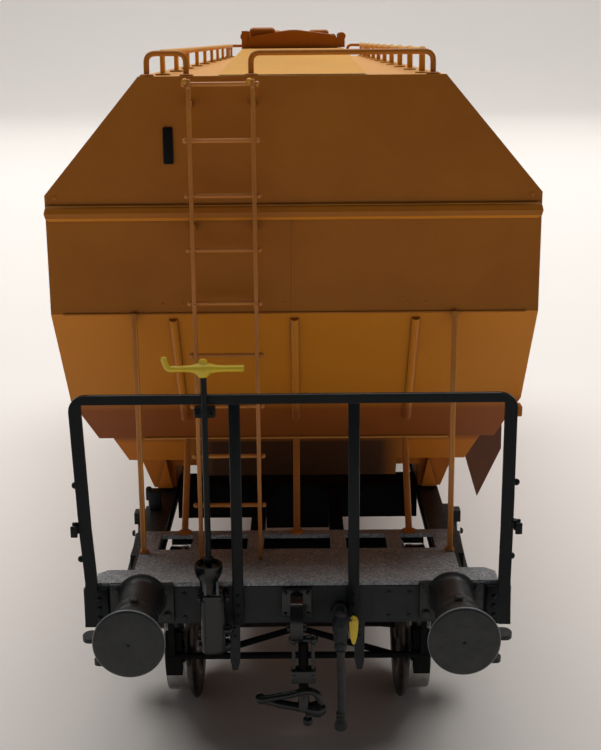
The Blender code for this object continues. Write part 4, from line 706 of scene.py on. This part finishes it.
def gear_housing_forms():
    housing = Form()
    low, high = HOUSING_X - HOUSING_HALF_WIDTH, HOUSING_X + HOUSING_HALF_WIDTH
    housing.box((low, 5.5, HOUSING_LEVELS[0]), (high, 6.6, HOUSING_LEVELS[1]), 0.36, 5)
    housing.turn(HOUSING_BOWL, (COLUMN_X, 6.0, 0), "z", 36)
    front = (
        (low + 0.2, 12.7), (high - 0.2, 12.7), (high - 0.2, 9.5), (high - 0.5, 8.8), (low + 0.5, 8.8),
        (low + 0.2, 9.5))
    housing.plate(front, "y", 5.34, 5.7, 0.12, 3)
    for place in (low + 0.24, high - 0.24):
        housing.bar([(place, 5.36, 9.4), (place, 5.36, 12.4)], 0.09, 12)
    housing.bar([(low - 0.18, 6.2, 9.0), (high + 0.18, 6.2, 9.0)], 0.42, 22)
    housing.bar([(high - 0.1, 5.9, 10.2), (high + 0.32, 5.9, 10.2)], 0.3, 18)
    for level in HOUSING_STRAP_LEVELS:
        housing.box((low - 0.22, 6.4, level - 0.28), (high + 0.22, 7.1, level + 0.28), 0.08, 2)
        for side in SIDES:
            housing.bolt((HOUSING_X + side * 0.86, 6.4, level), 0.13, 0.1)
    housing.emit("gear_housing", GLOSS, ends=("front",))
    # Two light strips of painted highlight in the gear housing's upper front
    slits = Form()
    for offset in HOUSING_SLITS:
        place = HOUSING_X + offset
        slits.box((place - 0.09, 5.42, 12.75), (place + 0.09, 5.6, 13.75))
    slits.emit("gear_housing_slits", HIGHLIGHT_GREY, ends=("front",))


def crank_form():
    x, y = COLUMN_X, COLUMN_Y
    crank = Form()
    arms = [(x + across, y, CRANK_LEVEL) for across, _ in CRANK_ARMS]
    crank.bar(arms, [radius for _, radius in CRANK_ARMS], 20, 0.85, 0.1)
    crank.turn(CRANK_HUB, (x, y, 0), "z", 30)
    crank.bar(bend([(x + across, y, height) for across, height in CRANK_GRIP], 0.3), 0.2, 18, 1.0, 0.4)
    crank.emit("crank_handle", HANDLE, ends=("front",), replaces=("brake_crank",))


# Ladder

LADDER_Y = 10.8
LADDER_RAILS = (-6.42, -2.44)
LADDER_MIDDLE = -4
LADDER_LEVELS = (13.05, 44.75)
LADDER_RIVET_LEVELS = (13.35, 30.6, 44.3)
LADDER_STAY_LEVELS = (35.4, 43.2)
RUNG_COUNT = 9
RUNG_TOP = 44.45
RUNG_PITCH = 3.44


def ladder_forms():
    ladder, caps = Form(), Form()
    for place in LADDER_RAILS:
        low, high = LADDER_LEVELS
        ladder.box((place - 0.13, LADDER_Y - 0.22, low), (place + 0.13, LADDER_Y + 0.22, high))
        for level in LADDER_RIVET_LEVELS:
            ladder.rivet((place, LADDER_Y - 0.22, level), 0.12, 0.07)
        for level in LADDER_STAY_LEVELS:
            ladder.box((place - 0.12, LADDER_Y, level - 0.2), (place + 0.12, 12.45, level + 0.2))
        caps.ball((place - 0.2, LADDER_Y - 0.05, 44.62), 0.2, 16)
    left, right = LADDER_RAILS
    for step in range(RUNG_COUNT):
        level = RUNG_TOP - RUNG_PITCH * step
        ladder.bar([(left - 0.4, LADDER_Y, level), (right + 0.22, LADDER_Y, level)], 0.14, 14)
        for place in LADDER_RAILS:
            way = -1 if place < LADDER_MIDDLE else 1
            ladder.ball((place + way * 0.26, LADDER_Y, level), 0.18, 14)
    ladder.emit("ladder_bars", TRIM, replaces=("ladder_{end}",))
    # The ladder's top caps in the lighter orange, painted light
    caps.emit("ladder_caps", LIT_ORANGE)


# End rail

END_RAIL_Y = (6.6, 7.0)
END_RAIL_HALF_WIDTH = 13.9
END_RAIL_OUTER = (END_RAIL_HALF_WIDTH, 25.7, 1.0)
END_RAIL_INNER = (13.14, 25.12, 0.12)
RIGHT_LEG = ((HEADSTOCK_FOOT, 0.0), (13.2, 0.08), (16.8, 0.03))
LEFT_LEG = ((HEADSTOCK_FOOT, 0.1), (13.2, 0.25), (16.8, 0.03))
LEFT_TOP_LEAN = 0.25
POST_PLACES = (-3.8, 3.7)
POST_HALF_WIDTH = 0.36
POST_RIVET_LEVELS = (10.8, 11.5, 12.2)
STUDS = ((19.8, 0.1), (14.8, -0.05))
FOOT_PLATE_X = 13.05
FOOT_PLATE_REACH = (-0.75, 0.83)
FOOT_PLATE_TOP = 12.75
FOOT_RIVET_X = 12.78
FOOT_RIVET_LEVELS = (10.75, 11.4, 12.05)


def rail_outline(half, top, corner):
    """Points of an upturned U with rounded corners and slightly bent legs, from right foot to left."""
    points = [(half - inward, level) for level, inward in RIGHT_LEG]
    for side, lean in ((1, 0.0), (-1, LEFT_TOP_LEAN)):
        for step in range(CORNER_STEPS + 1):
            angle = math.pi / 2 * step / CORNER_STEPS
            if side < 0:
                angle = math.pi / 2 - angle
            across = half + lean - corner + corner * math.cos(angle)
            points.append((side * across, top - corner + corner * math.sin(angle)))
    return points + [(inward - half, level) for level, inward in LEFT_LEG[::-1]]


def lamp_iron(rail, side):
    x = side * END_RAIL_HALF_WIDTH
    rail.box((x - 0.2, 6.55, 16.72), (x + side * 0.2, 7.05, 17.28))
    for place in (6.35, 7.05):
        low = (x + side * 0.26 - 0.2, place - 0.1, 16.45)
        rail.box(low, (x + side * 0.26 + 0.24, place + 0.1, 17.2))
    rail.box((x + side * 0.3 - 0.14, 6.35, 16.45), (x + side * 0.3 + 0.2, 7.05, 16.62))


def end_rail_forms():
    rail = Form()
    outline = rail_outline(*END_RAIL_OUTER) + rail_outline(*END_RAIL_INNER)[::-1]
    rail.plate(outline, "y", *END_RAIL_Y, 0.07, 2)
    for place in POST_PLACES:
        low = (place - POST_HALF_WIDTH, RAIL_FRONT, HEADSTOCK_FOOT)
        rail.box(low, (place + POST_HALF_WIDTH, 7.0, 25.3), 0.08, 2)
        for level in POST_RIVET_LEVELS:
            rail.rivet((place, RAIL_FRONT, level), 0.14, 0.08)
    for side in SIDES:
        lamp_iron(rail, side)
        for level, outward in STUDS:
            rail.ball((side * (END_RAIL_HALF_WIDTH + outward), 6.8, level), 0.22, 16)
        low, high = (side * FOOT_PLATE_X + reach for reach in FOOT_PLATE_REACH)
        rail.box((low, RAIL_FRONT, HEADSTOCK_FOOT), (high, 6.98, FOOT_PLATE_TOP), 0.08, 2)
        for level in FOOT_RIVET_LEVELS:
            rail.rivet((side * FOOT_RIVET_X, RAIL_FRONT, level), 0.17, 0.11)
    rail.emit("end_rail_hoop", RAIL_BLACK, replaces=("end_rail_{end}",))
    # A thin line of painted highlight along the end rail's top
    line = Form()
    line.box((-12.9, 6.6, 25.64), (12.9, 6.72, 25.74), 0.03, 1)
    line.emit("end_rail_rubbed_edge", HIGHLIGHT_GREY)


# Headstock, corner steps and hangers

HEADSTOCK_OUTLINE = (
    (-13.1, 12.65), (13.1, 12.65), (13.1, 10.75), (12.45, 10.1), (-12.45, 10.1), (-13.1, 10.75))
HEADSTOCK_BACK = 8.1
HEADSTOCK_FLANGES = (
    ((-12.3, 8.0, 12.25), (12.3, 9.0, 12.65)),
    ((-12.3, 8.0, 10.1), (12.3, 8.9, 10.45)))
STEPS = ((8.45, 14.3, 7.6), (6.6, 13.65, 8.0))
STEP_INNER_X = 11.25
STEP_BACK = 9.0
STEP_THICKNESS = 0.3
STEP_ARC_STEPS = 8
STEP_HANGER = ((11.4, 10.6), (11.8, 10.6), (11.8, 6.4), (11.4, 6.4))
STEP_HANGER_PLACES = ((7.25, 7.6), (8.4, 8.75))
HANGER = ((3.75, 10.3), (4.45, 10.3), (4.42, 7.2), (4.3, 6.6), (3.95, 6.6), (3.8, 7.2))
HANGER_FRONT = 7.3
HEADSTOCK_RIVET_PLACES = (7.3, 6.0)
HEADSTOCK_RIVET_LEVELS = (10.55, 12.2)
HANGER_RIVET_LEVELS = (9.6, 9.0)


def step_outline(outer, front):
    """A step tread seen from above: a tongue with a rounded outer end."""
    points = [(STEP_INNER_X, front), (STEP_INNER_X, STEP_BACK)]
    middle, half = (front + STEP_BACK) / 2, (STEP_BACK - front) / 2
    for step in range(STEP_ARC_STEPS + 1):
        angle = math.pi / 2 - math.pi * step / STEP_ARC_STEPS
        points.append((outer - half * 0.7 + half * 0.7 * math.cos(angle), middle + half * math.sin(angle)))
    return points


def headstock_forms():
    head = Form()
    head.plate(HEADSTOCK_OUTLINE, "y", HEADSTOCK_FRONT, HEADSTOCK_BACK, 0.08, 2)
    for low, high in HEADSTOCK_FLANGES:
        head.box(low, high, 0.06, 2)
    for side in SIDES:
        for level, outer, front in STEPS:
            tread = mirrored(step_outline(outer, front), side)
            head.plate(tread, "z", level, level + STEP_THICKNESS, 0.08, 2)
        for front, back in STEP_HANGER_PLACES:
            head.plate(mirrored(STEP_HANGER, side), "y", front, back, 0.08, 2)
        head.plate(mirrored(HANGER, side), "y", HANGER_FRONT, 7.95, 0.1, 3)
        place = side * FOOT_PLATE_X
        head.box((place - 0.8, 6.98, HEADSTOCK_FOOT), (place + 0.8, 7.2, 12.7), 0.08, 2)
        for place in HEADSTOCK_RIVET_PLACES:
            for level in HEADSTOCK_RIVET_LEVELS:
                head.rivet((side * place, HEADSTOCK_FRONT, level), 0.13, 0.08)
        for level in HANGER_RIVET_LEVELS:
            head.rivet((side * 4.1, HANGER_FRONT, level), 0.13, 0.08)
    head.emit("headstock", GREY, replaces=("headstock_{end}",))
    bracket = Form()
    bracket.box((-11.25, 21.5, 12.6), (-10.35, 22.5, 14.1), 0.12, 2)
    bracket.box((-11.45, 21.7, 13.3), (-11.05, 22.3, 14.3), 0.1, 2)
    bracket.emit("sill_bracket", GREY)


# Roof: hoops, rails and hatch covers

HOOP_Y = 13.0
HOOPS = (("left", -9.2, -6.7), ("right", -2.6, 8.9))
HOOP_CORNER = 0.6
ROOF_FOOT = ((-0.02, 0.44), (0.08, 0.44), (0.14, 0.3))
ROOF_RAIL_X = 8.4
ROOF_RAIL_ENDS = (15.0, 102.5)
ROOF_POST_START = 15.25
ROOF_POST_RUN = 87.0
ROOF_POST_BAYS = 9
HATCH_STARTS = (26.0, 60.25)
HATCH_LENGTH = 31.25
HATCH_OUTLINE = (
    (-3.25, 46.48), (3.25, 46.48), (3.3, 46.9), (3.1, 47.3), (1.6, 47.55), (0, 47.7), (-1.6, 47.55),
    (-3.1, 47.3), (-3.3, 46.9))
HATCH_STRAP = ((-3.34, 46.7), (-3.2, 47.32), (0, 47.73), (3.2, 47.32), (3.34, 46.7))
HATCH_STRAP_SHARES = (0.26, 0.5, 0.74)
HATCH_CATCHES = (
    ((-3.72, 47.7), (-3.3, 47.7), (-3.3, 46.4), (-3.5, 46.0), (-3.72, 46.4)),
    ((3.3, 46.5), (3.75, 46.5), (3.75, 47.4), (3.65, 47.55), (3.4, 47.55), (3.3, 47.4)))
HATCH_CATCH_HALF = 0.35
HATCH_BLOCK_LEVELS = (46.75, 47.95)


def roof_hoop_forms():
    for name, low, high in HOOPS:
        hoop = Form()
        corners = ((low, ROOF_LEVEL), (low, ROOF_BAR_LEVEL), (high, ROOF_BAR_LEVEL), (high, ROOF_LEVEL))
        hoop.bar(bend([(across, HOOP_Y, level) for across, level in corners], HOOP_CORNER), 0.18, 18)
        for place in (low, high):
            hoop.turn(ROOF_FOOT, (place, HOOP_Y, ROOF_LEVEL), "z", 20)
        hoop.emit(f"roof_hoop_tube_{name}", ORANGE, replaces=(f"roof_hoop_{name}_{{end}}",))


def roof_rail_forms():
    places = [ROOF_POST_START + step * ROOF_POST_RUN / ROOF_POST_BAYS for step in range(ROOF_POST_BAYS + 1)]
    rails = [Form(), Form()]
    for side, rail in zip(SIDES, rails):
        rail.bar([(side * ROOF_RAIL_X, along, ROOF_BAR_LEVEL) for along in ROOF_RAIL_ENDS], 0.22, 16)
    left, right = rails
    for place in places:
        left.box((-8.53, place - 0.5, ROOF_LEVEL), (-8.27, place + 0.5, ROOF_BAR_LEVEL - 0.1), 0.08, 2)
        left.box((-8.85, place - 0.55, ROOF_LEVEL), (-7.95, place + 0.55, ROOF_LEVEL + 0.12))
        right.bar([(ROOF_RAIL_X, place, ROOF_LEVEL), (ROOF_RAIL_X, place, ROOF_BAR_LEVEL)], 0.2, 14)
        right.turn(ROOF_FOOT, (ROOF_RAIL_X, place, ROOF_LEVEL), "z", 18)
        right.ball((ROOF_RAIL_X, place, ROOF_BAR_LEVEL), 0.3, 14)
    left.emit("roof_rail_bar_left", LIT_ORANGE, ends=("whole",), replaces=("roof_rail_left",))
    right.emit("roof_rail_bar_right", LIT_ORANGE, ends=("whole",), replaces=("roof_rail_right",))


def hatch_forms():
    low, high = HATCH_BLOCK_LEVELS
    for number, start in enumerate(HATCH_STARTS, 1):
        stop = start + HATCH_LENGTH
        lid = Form()
        lid.plate(HATCH_OUTLINE, "y", start, stop, 0.14, 3)
        for share in HATCH_STRAP_SHARES:
            place = start + HATCH_LENGTH * share
            lid.bar(bend([(across, place, level) for across, level in HATCH_STRAP], 0.5), 0.13, 10)
        lid.emit(f"hatch_lid_{number}", ORANGE, ends=("whole",), replaces=(f"hatch_cover_{number}",))
        fittings = Form()
        for place in (start + 0.35, start + 4.5, stop - 4.5, stop - 0.35):
            for catch in HATCH_CATCHES:
                fittings.plate(catch, "y", place - HATCH_CATCH_HALF, place + HATCH_CATCH_HALF, 0.08, 2)
            for side in SIDES:
                fittings.bolt((side * 3.72, place, 47.3), 0.14, 0.1, "x", side)
        fittings.box((-3.2, start + 1.0, low), (-1.3, start + 2.6, high), 0.3, 4)
        fittings.box((1.3, stop - 2.6, low), (3.2, stop - 1.0, high), 0.3, 4)
        fittings.emit(f"hatch_fittings_{number}", ORANGE, ends=("whole",))


# Struts and side plates

STRUT_FOOT = ((12.98, 0.5), (13.12, 0.5), (13.2, 0.34))
STRUT_FOOT_Y = 15.8
STRUT_TOP = (20.55, 18.6)
FLAT_STRUT_X = 10.5
FLAT_STRUT_TOP = 29.8
SIDE_PLATE_OUTLINE = (
    (14.07, 12.3), (13.15, 15.4), (12.3, 18.4), (13.6, 19.4), (15.3, 22.5), (15.85, 22.5), (15.85, 16.2))
SIDE_PLATE_Y = (25.0, 25.5)
SIDE_PLATES = (
    ("side_bracket_plate", "front", "side_plate"),
    ("side_bracket_plate_far", "rear", "side_plate_rear"))


def strut_forms():
    round_struts = Form()
    for place in STRUT_PLACES:
        round_struts.bar([(place, STRUT_FOOT_Y, DECK_TOP), (place, *STRUT_TOP)], 0.24, 18)
        round_struts.turn(STRUT_FOOT, (place, STRUT_FOOT_Y, 0), "z", 20)
    names = tuple(f"end_strut_{side}_{{end}}" for side in ("left", "middle", "right"))
    round_struts.emit("round_struts", TRIM, replaces=names)
    flat_struts, edges = Form(), Form()
    for side in SIDES:
        x = side * FLAT_STRUT_X
        flat_struts.box((x - 0.17, 12.0, DECK_TOP), (x + 0.17, 12.36, FLAT_STRUT_TOP))
        flat_struts.box((x - 0.3, 11.9, DECK_TOP), (x + 0.3, 12.6, 13.16), 0.04, 2)
        # Thin light strips of painted highlight along the flat struts' edges
        edges.box((x + 0.09, 11.97, 13.2), (x + 0.18, 12.06, 29.4), 0.02, 1)
    flat_struts.emit("flat_struts", TRIM, replaces=("flat_strut_left_{end}", "flat_strut_right_{end}"))
    edges.emit("flat_strut_highlights", HIGHLIGHT_ORANGE)


def side_plate_forms():
    for name, end, node_name in SIDE_PLATES:
        plate = Form()
        plate.plate(SIDE_PLATE_OUTLINE, "y", *SIDE_PLATE_Y, 0.08, 2)
        # Side plates in the darkened orange, painted shade
        plate.emit(name, SHADED_ORANGE, replaces=(node_name,), ends=(end,))


# Air reservoir and inner brake blocks, which close the view through the deck's openings: dark pieces in
# near-black paint, painted shade below the deck

TANK_PLACE = (25.5, 7.85)
TANK_PROFILE = (
    (-6.9, 0.4), (-6.88, 0.8), (-6.8, 0.97), (-6.6, 1.02), (6.6, 1.02), (6.8, 0.97), (6.88, 0.8), (6.9, 0.4))
TANK_BAND = ((-0.2, 1.0), (-0.18, 1.07), (0.18, 1.07), (0.2, 1.0))
TANK_BAND_PLACES = (2.9, 5.2)
TANK_HANGER_X = 2.9
BRAKE_BLOCK = ((6.7, 6.2), (9.95, 6.2), (9.95, 8.8), (9.7, 9.15), (6.9, 9.15), (6.7, 8.8))
BRAKE_BLOCK_Y = (24.9, 25.6)
BRAKE_BLOCK_BOLTS = (7.8, 9.2)


def brake_reservoir_form():
    tank = Form()
    tank.turn(TANK_PROFILE, (0, *TANK_PLACE), "x", 40)
    for side in SIDES:
        for place in TANK_BAND_PLACES:
            tank.turn(TANK_BAND, (side * place, *TANK_PLACE), "x", 40)
        x = side * TANK_HANGER_X
        tank.box((x - 0.25, 25.1, 8.6), (x + 0.25, 25.5, 11.5), 0.06, 2)
        tank.plate(mirrored(BRAKE_BLOCK, side), "y", *BRAKE_BLOCK_Y, 0.14, 3)
        for place in BRAKE_BLOCK_BOLTS:
            tank.bolt((side * place, BRAKE_BLOCK_Y[1], 7.9), 0.2, 0.16, "y", 1)
    tank.bar([(-9.6, 25.2, 7.3), (9.6, 25.2, 7.3)], 0.28, 16)
    tank.emit("air_reservoir", NEAR_BLACK_AND_SHADE)


# Body details: seams, bare plates, hooks and lines of painted highlight

BARE_PLATE = ((-8.24, 12.24, 39.45), (-7.62, 12.42, 41.75))
HOOK_PLACES = ((16.6, 31.9), (16.6, 26.5), (34, 26.5), (58, 26.5), (82, 26.5))
HOOK_REACH = (15.9, 16.22)
SIDE_SEAM_PLACES = (24.0, 41.5, 59.0, 76.0, 93.5)
SIDE_RIVET_COUNT = 14
SIDE_BARE_PLATES = (((15.95, 33.0, 31.0), (16.08, 38.0, 34.2)), ((15.95, 70.0, 31.6), (16.08, 72.4, 33.8)))
# Thin light strips of painted highlight: along the end sheet's foot and high across the end panel
HIGHLIGHT_LINES = (((-11.2, 20.28, 18.6), (11.2, 20.45, 18.74)), ((-15.9, 12.18, 36.7), (15.9, 12.32, 36.82)))


def end_panel_forms():
    seams = Form()
    seams.box((-0.14, 12.34, 29.9), (-0.04, 12.5, 35.75), 0.02, 1)
    seams.box((-15.2, 12.3, 29.62), (15.2, 12.5, 29.76), 0.04, 2)
    for side in SIDES:
        seams.rivet((side * 15.35, PANEL_FRONT, 37.35), 0.14, 0.06)
        for place in STRUT_PLACES:
            seams.rivet((place + side * 0.62, PANEL_FRONT, 30.35), 0.11, 0.05)
    seams.emit("end_panel_seams", ORANGE)
    plate = Form()
    plate.box(*BARE_PLATE, 0.06, 2)
    plate.emit("bare_plate", NEAR_BLACK_AND_SHADE, ends=("front",))


def side_forms():
    hooks = Form()
    inner, outer = HOOK_REACH
    for place, level in HOOK_PLACES:
        corners = ((inner, place - 0.5), (outer, place - 0.5), (outer, place + 0.5), (inner, place + 0.5))
        hooks.bar(bend([(across, along, level) for across, along in corners], 0.15), 0.11, 10)
    hooks.box((15.5, 16.6, 21.2), (15.95, 17.6, 22.0), 0.12, 3)
    hooks.emit("side_hooks", ORANGE)
    panels = Form()
    for place in SIDE_SEAM_PLACES:
        panels.box((15.94, place - 0.05, 30.0), (16.03, place + 0.05, 37.3), 0.02, 1)
    panels.box((15.95, 14.0, 37.42), (16.05, 103.5, 37.52), 0.03, 1)
    for index in range(SIDE_RIVET_COUNT):
        panels.rivet((16.0, 18.0 + index * 6.25, 37.05), 0.12, 0.06, "x", 1)
    panels.emit("side_panel_seams", ORANGE)
    label = Form()
    for low, high in SIDE_BARE_PLATES:
        label.box(low, high, 0.06, 2)
    label.emit("side_bare_plates", GREY)


def highlight_line_form():
    line = Form()
    for low, high in HIGHLIGHT_LINES:
        line.box(low, high, 0.03, 1)
    line.emit("end_highlight_lines", HIGHLIGHT_ORANGE)


# Wheelsets, turned steel with a bright tread, and fittings of the running gear

AXLE_Y = 18.5
AXLE_Z = 5.3
AXLE_PLACE = (0, AXLE_Y, AXLE_Z)
WHEEL_SIDES = 96
WHEEL_PROFILE = (
    (7.2, 0.95), (7.2, 1.66), (7.32, 1.74), (7.52, 1.85), (7.62, 2.2), (7.66, 3.9), (7.5, 4.12),
    (7.24, 4.24), (7.2, 4.36), (7.2, 5.45), (7.26, 5.72), (7.38, 5.90), (7.5, 5.945), (7.62, 5.9),
    (7.76, 5.72), (7.88, 5.5), (8.0, 5.33), (8.1, 5.305), (9.38, 5.29), (9.48, 5.24), (9.5, 5.12),
    (9.5, 4.36), (9.42, 4.24), (9.16, 4.12), (9.0, 3.9), (9.06, 2.2), (9.16, 1.85), (9.36, 1.74),
    (9.5, 1.66), (9.5, 0.95))
AXLE_PROFILE = (
    (-12.2, 0.3), (-12.15, 0.46), (-11.0, 0.48), (-10.6, 0.5), (-10.4, 0.88), (-9.4, 0.95), (-7.1, 0.97),
    (-6.2, 0.88), (-0.5, 0.82), (0.5, 0.82), (6.2, 0.88), (7.1, 0.97), (9.4, 0.95), (10.4, 0.88), (10.6, 0.5),
    (11.0, 0.48), (12.15, 0.46), (12.2, 0.3))
TREAD_BAND = ((7.9, 5.44), (8.0, 5.345), (8.1, 5.32), (9.36, 5.305), (9.44, 5.27), (9.4, 5.2), (8.0, 5.2))
WEB_RING = ((-0.02, 0.42), (0.05, 0.42), (0.05, 0.3), (-0.01, 0.26))
WEB_RING_COUNT = 6
WEB_RING_X = 9.05
WEB_RING_REACH = 3.05
WEB_RING_TURN = 0.26
BOX_COVER = ((-0.3, 1.12), (0.0, 1.1), (0.06, 1.0), (0.1, 0.62), (0.16, 0.5), (0.18, 0.2))
BOX_COVER_X = 13.55
BOX_BOLT_COUNT = 4
BOX_BOLT_X = 13.25
BOX_BOLT_REACH = 1.28
GUARD_FACE = 11.66
GUARD_RIVET_PLACES = (1.7, 3.2, 4.5)
GUARD_RIVET_LEVEL = 11.7
SPRING_X = 12.3
SPRING_CLIP_LEVELS = (7.3, 8.35)
SHACKLE_BOLT = (12.86, 6.3, 9.5)


def around_axle(x, reach, angle):
    return (x, AXLE_Y + reach * math.cos(angle), AXLE_Z + reach * math.sin(angle))


def wheelset_forms():
    wheels, treads = Form(), Form()
    wheels.turn(AXLE_PROFILE, AXLE_PLACE, "x", 32)
    for side in SIDES:
        wheels.turn(mirrored(WHEEL_PROFILE, side), AXLE_PLACE, "x", WHEEL_SIDES)
        treads.turn(mirrored(TREAD_BAND, side), AXLE_PLACE, "x", WHEEL_SIDES)
        for step in range(WEB_RING_COUNT):
            spot = around_axle(side * WEB_RING_X, WEB_RING_REACH, math.pi * step / 3 + WEB_RING_TURN)
            wheels.turn(mirrored(WEB_RING, side), spot, "x", 18)
    wheels.emit("turned_wheelset", WHEEL, body="wheelset_{end}", replaces=("wheelset_{end}",))
    treads.emit("wheel_treads", TREAD, body="wheelset_{end}")


def running_gear_form():
    gear = Form()
    for side in SIDES:
        face, spring = side * GUARD_FACE, side * SPRING_X
        gear.turn(mirrored(BOX_COVER, side), (side * BOX_COVER_X, AXLE_Y, AXLE_Z), "x", 36)
        for step in range(BOX_BOLT_COUNT):
            spot = around_axle(side * BOX_BOLT_X, BOX_BOLT_REACH, math.pi * step / 2 + math.pi / 4)
            gear.bolt(spot, 0.15, 0.12, "x", side)
        for along in SIDES:
            for place in GUARD_RIVET_PLACES:
                gear.rivet((face, AXLE_Y + along * place, GUARD_RIVET_LEVEL), 0.16, 0.09, "x", side)
            gear.rivet((face, AXLE_Y + along * 1.75, 7.25), 0.14, 0.08, "x", side)
            y = AXLE_Y + along * 0.42
            for level in SPRING_CLIP_LEVELS:
                low = (spring - 0.55, y - 0.1, level - 0.1)
                gear.box(low, (spring + 0.55, y + 0.1, level + 0.1))
            x, reach, level = SHACKLE_BOLT
            gear.bolt((side * x, AXLE_Y + along * reach, level), 0.2, 0.16, "x", side)
    gear.emit("running_gear_fittings", GREY)


# Paint and soft edges on the solids that show

UNSOFTENED = ("hopper_body", "wheelset", "buffer", "roof_rail", "roof_hoop")
NODE_BEVEL = 0.05 * MM
NODE_BEVEL_ANGLE = math.radians(40)


def dress_nodes():
    for name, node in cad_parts.items():
        for slot in node.material_slots:
            slot.material = node_material(name)
        if name.startswith(UNSOFTENED):
            continue
        edges = node.modifiers.new("soft_edges", "BEVEL")
        edges.width = NODE_BEVEL
        edges.segments = 2
        edges.limit_method = "ANGLE"
        edges.angle_limit = NODE_BEVEL_ANGLE
        edges.use_clamp_overlap = True


buffer_forms()
draw_hook_form()
coupling_form()
hose_forms()
brake_column_form()
gear_housing_forms()
crank_form()
ladder_forms()
end_rail_forms()
headstock_forms()
roof_hoop_forms()
roof_rail_forms()
hatch_forms()
strut_forms()
side_plate_forms()
brake_reservoir_form()
end_panel_forms()
side_forms()
highlight_line_form()
wheelset_forms()
running_gear_form()
dress_nodes()


# Camera, as in the photograph

FOCAL_PIXELS = 1300
FRAME_PIXELS_HIGH = 750
SENSOR_HEIGHT = 24.0
CAMERA_PLACE = (0.52 * MM, -130.05 * MM, 47.75 * MM)
CAMERA_HEADING = 0.11
CAMERA_PITCH = 75.51
CAMERA_ROLL = -0.5


def add_camera():
    data = bpy.data.cameras.new("camera")
    data.sensor_fit = "VERTICAL"
    data.sensor_height = SENSOR_HEIGHT
    data.lens = SENSOR_HEIGHT * FOCAL_PIXELS / FRAME_PIXELS_HIGH
    data.clip_start = 0.005
    data.clip_end = 10
    camera = bpy.data.objects.new("camera", data)
    camera.location = CAMERA_PLACE
    turn = Matrix.Rotation(math.radians(CAMERA_HEADING), 4, "Z")
    turn = turn @ Matrix.Rotation(math.radians(CAMERA_PITCH), 4, "X")
    turn = turn @ Matrix.Rotation(math.radians(CAMERA_ROLL), 4, "Z")
    camera.rotation_euler = turn.to_euler()
    bpy.context.scene.collection.objects.link(camera)
    bpy.context.scene.camera = camera


# Floor, backdrop and lights, in metres

BACKDROP_FRONT = -1.6
BACKDROP_TURN_START = 0.75
BACKDROP_TURN_RADIUS = 0.35
BACKDROP_TURN_STEPS = 24
BACKDROP_TOP = 2.2
BACKDROP_HALF_WIDTH = 2.5
LIGHTS = (
    ("softbox_top", (0.0, 0.30, 0.75), (0, 0.10, 0), (1.1, 0.6), 9.0, (1.0, 0.985, 0.96)),
    ("softbox_back", (0.0, 0.35, 0.9), (0, 1.1, 0.3), (1.6, 0.5), 2.6, (1.0, 0.985, 0.97)),
    ("fill_left", (-0.6, -0.55, 0.35), (0, -0.05, 0.02), (0.5, 0.5), 0.12, (0.97, 0.98, 1.0)),
    ("fill_right", (0.6, -0.55, 0.35), (0, -0.05, 0.02), (0.5, 0.5), 0.12, (0.97, 0.98, 1.0)))
GLOW_COLOR = (0.85, 0.86, 0.9, 1)
GLOW_STRENGTH = 0.05
FAR_WALL_COLOR = (0.72, 0.70, 0.68, 1)


def add_backdrop():
    """One pale sheet that lies flat and turns up behind the wagon."""
    shape = bmesh.new()
    profile = [(BACKDROP_FRONT, 0.0)]
    for index in range(BACKDROP_TURN_STEPS + 1):
        angle = math.pi / 2 * index / BACKDROP_TURN_STEPS
        profile.append((
            BACKDROP_TURN_START + BACKDROP_TURN_RADIUS * math.sin(angle),
            BACKDROP_TURN_RADIUS - BACKDROP_TURN_RADIUS * math.cos(angle)))
    profile.append((BACKDROP_TURN_START + BACKDROP_TURN_RADIUS, BACKDROP_TOP))
    rows = []
    for y, z in profile:
        rows.append([shape.verts.new((x, y, z)) for x in (-BACKDROP_HALF_WIDTH, BACKDROP_HALF_WIDTH)])
    for low, high in zip(rows, rows[1:]):
        shape.faces.new((low[0], low[1], high[1], high[0]))
    mesh = bpy.data.meshes.new("backdrop")
    shape.to_mesh(mesh)
    shape.free()
    mesh.shade_smooth()
    item = bpy.data.objects.new("backdrop", mesh)
    bpy.context.scene.collection.objects.link(item)
    nodes = Nodes("backdrop_paper")
    cloud = nodes.noise(6, 3)
    color = nodes.mix(nodes.ramp(cloud, 0.3, 0.7), (0.80, 0.765, 0.735), (0.78, 0.745, 0.715))
    bump = nodes.bump(nodes.noise(900, 2), 0.1, 0.02 * MM)
    mesh.materials.append(nodes.finish({"Base Color": color, "Roughness": 0.9, "Normal": bump}))


def add_light(name, place, target, size, power, color):
    data = bpy.data.lights.new(name, "AREA")
    data.shape = "RECTANGLE"
    data.size, data.size_y = size
    data.energy = power
    data.color = color
    item = bpy.data.objects.new(name, data)
    item.location = place
    item.rotation_euler = (Vector(target) - Vector(place)).to_track_quat("-Z", "Y").to_euler()
    bpy.context.scene.collection.objects.link(item)


def add_world():
    """A faint glow that lights the model, and a pale far wall that only the camera sees."""
    world = bpy.data.worlds.new("studio")
    world.use_nodes = True
    tree = world.node_tree
    glow = tree.nodes["Background"]
    glow.inputs["Color"].default_value = GLOW_COLOR
    glow.inputs["Strength"].default_value = GLOW_STRENGTH
    far_wall = tree.nodes.new("ShaderNodeBackground")
    far_wall.inputs["Color"].default_value = FAR_WALL_COLOR
    seen = tree.nodes.new("ShaderNodeLightPath")
    choice = tree.nodes.new("ShaderNodeMixShader")
    tree.links.new(seen.outputs["Is Camera Ray"], choice.inputs["Fac"])
    tree.links.new(glow.outputs["Background"], choice.inputs[1])
    tree.links.new(far_wall.outputs["Background"], choice.inputs[2])
    tree.links.new(choice.outputs["Shader"], tree.nodes["World Output"].inputs["Surface"])
    bpy.context.scene.world = world


add_camera()
add_backdrop()
for light in LIGHTS:
    add_light(*light)
add_world()
bpy.context.scene.view_settings.view_transform = "Standard"
bpy.context.scene.view_settings.look = "None"
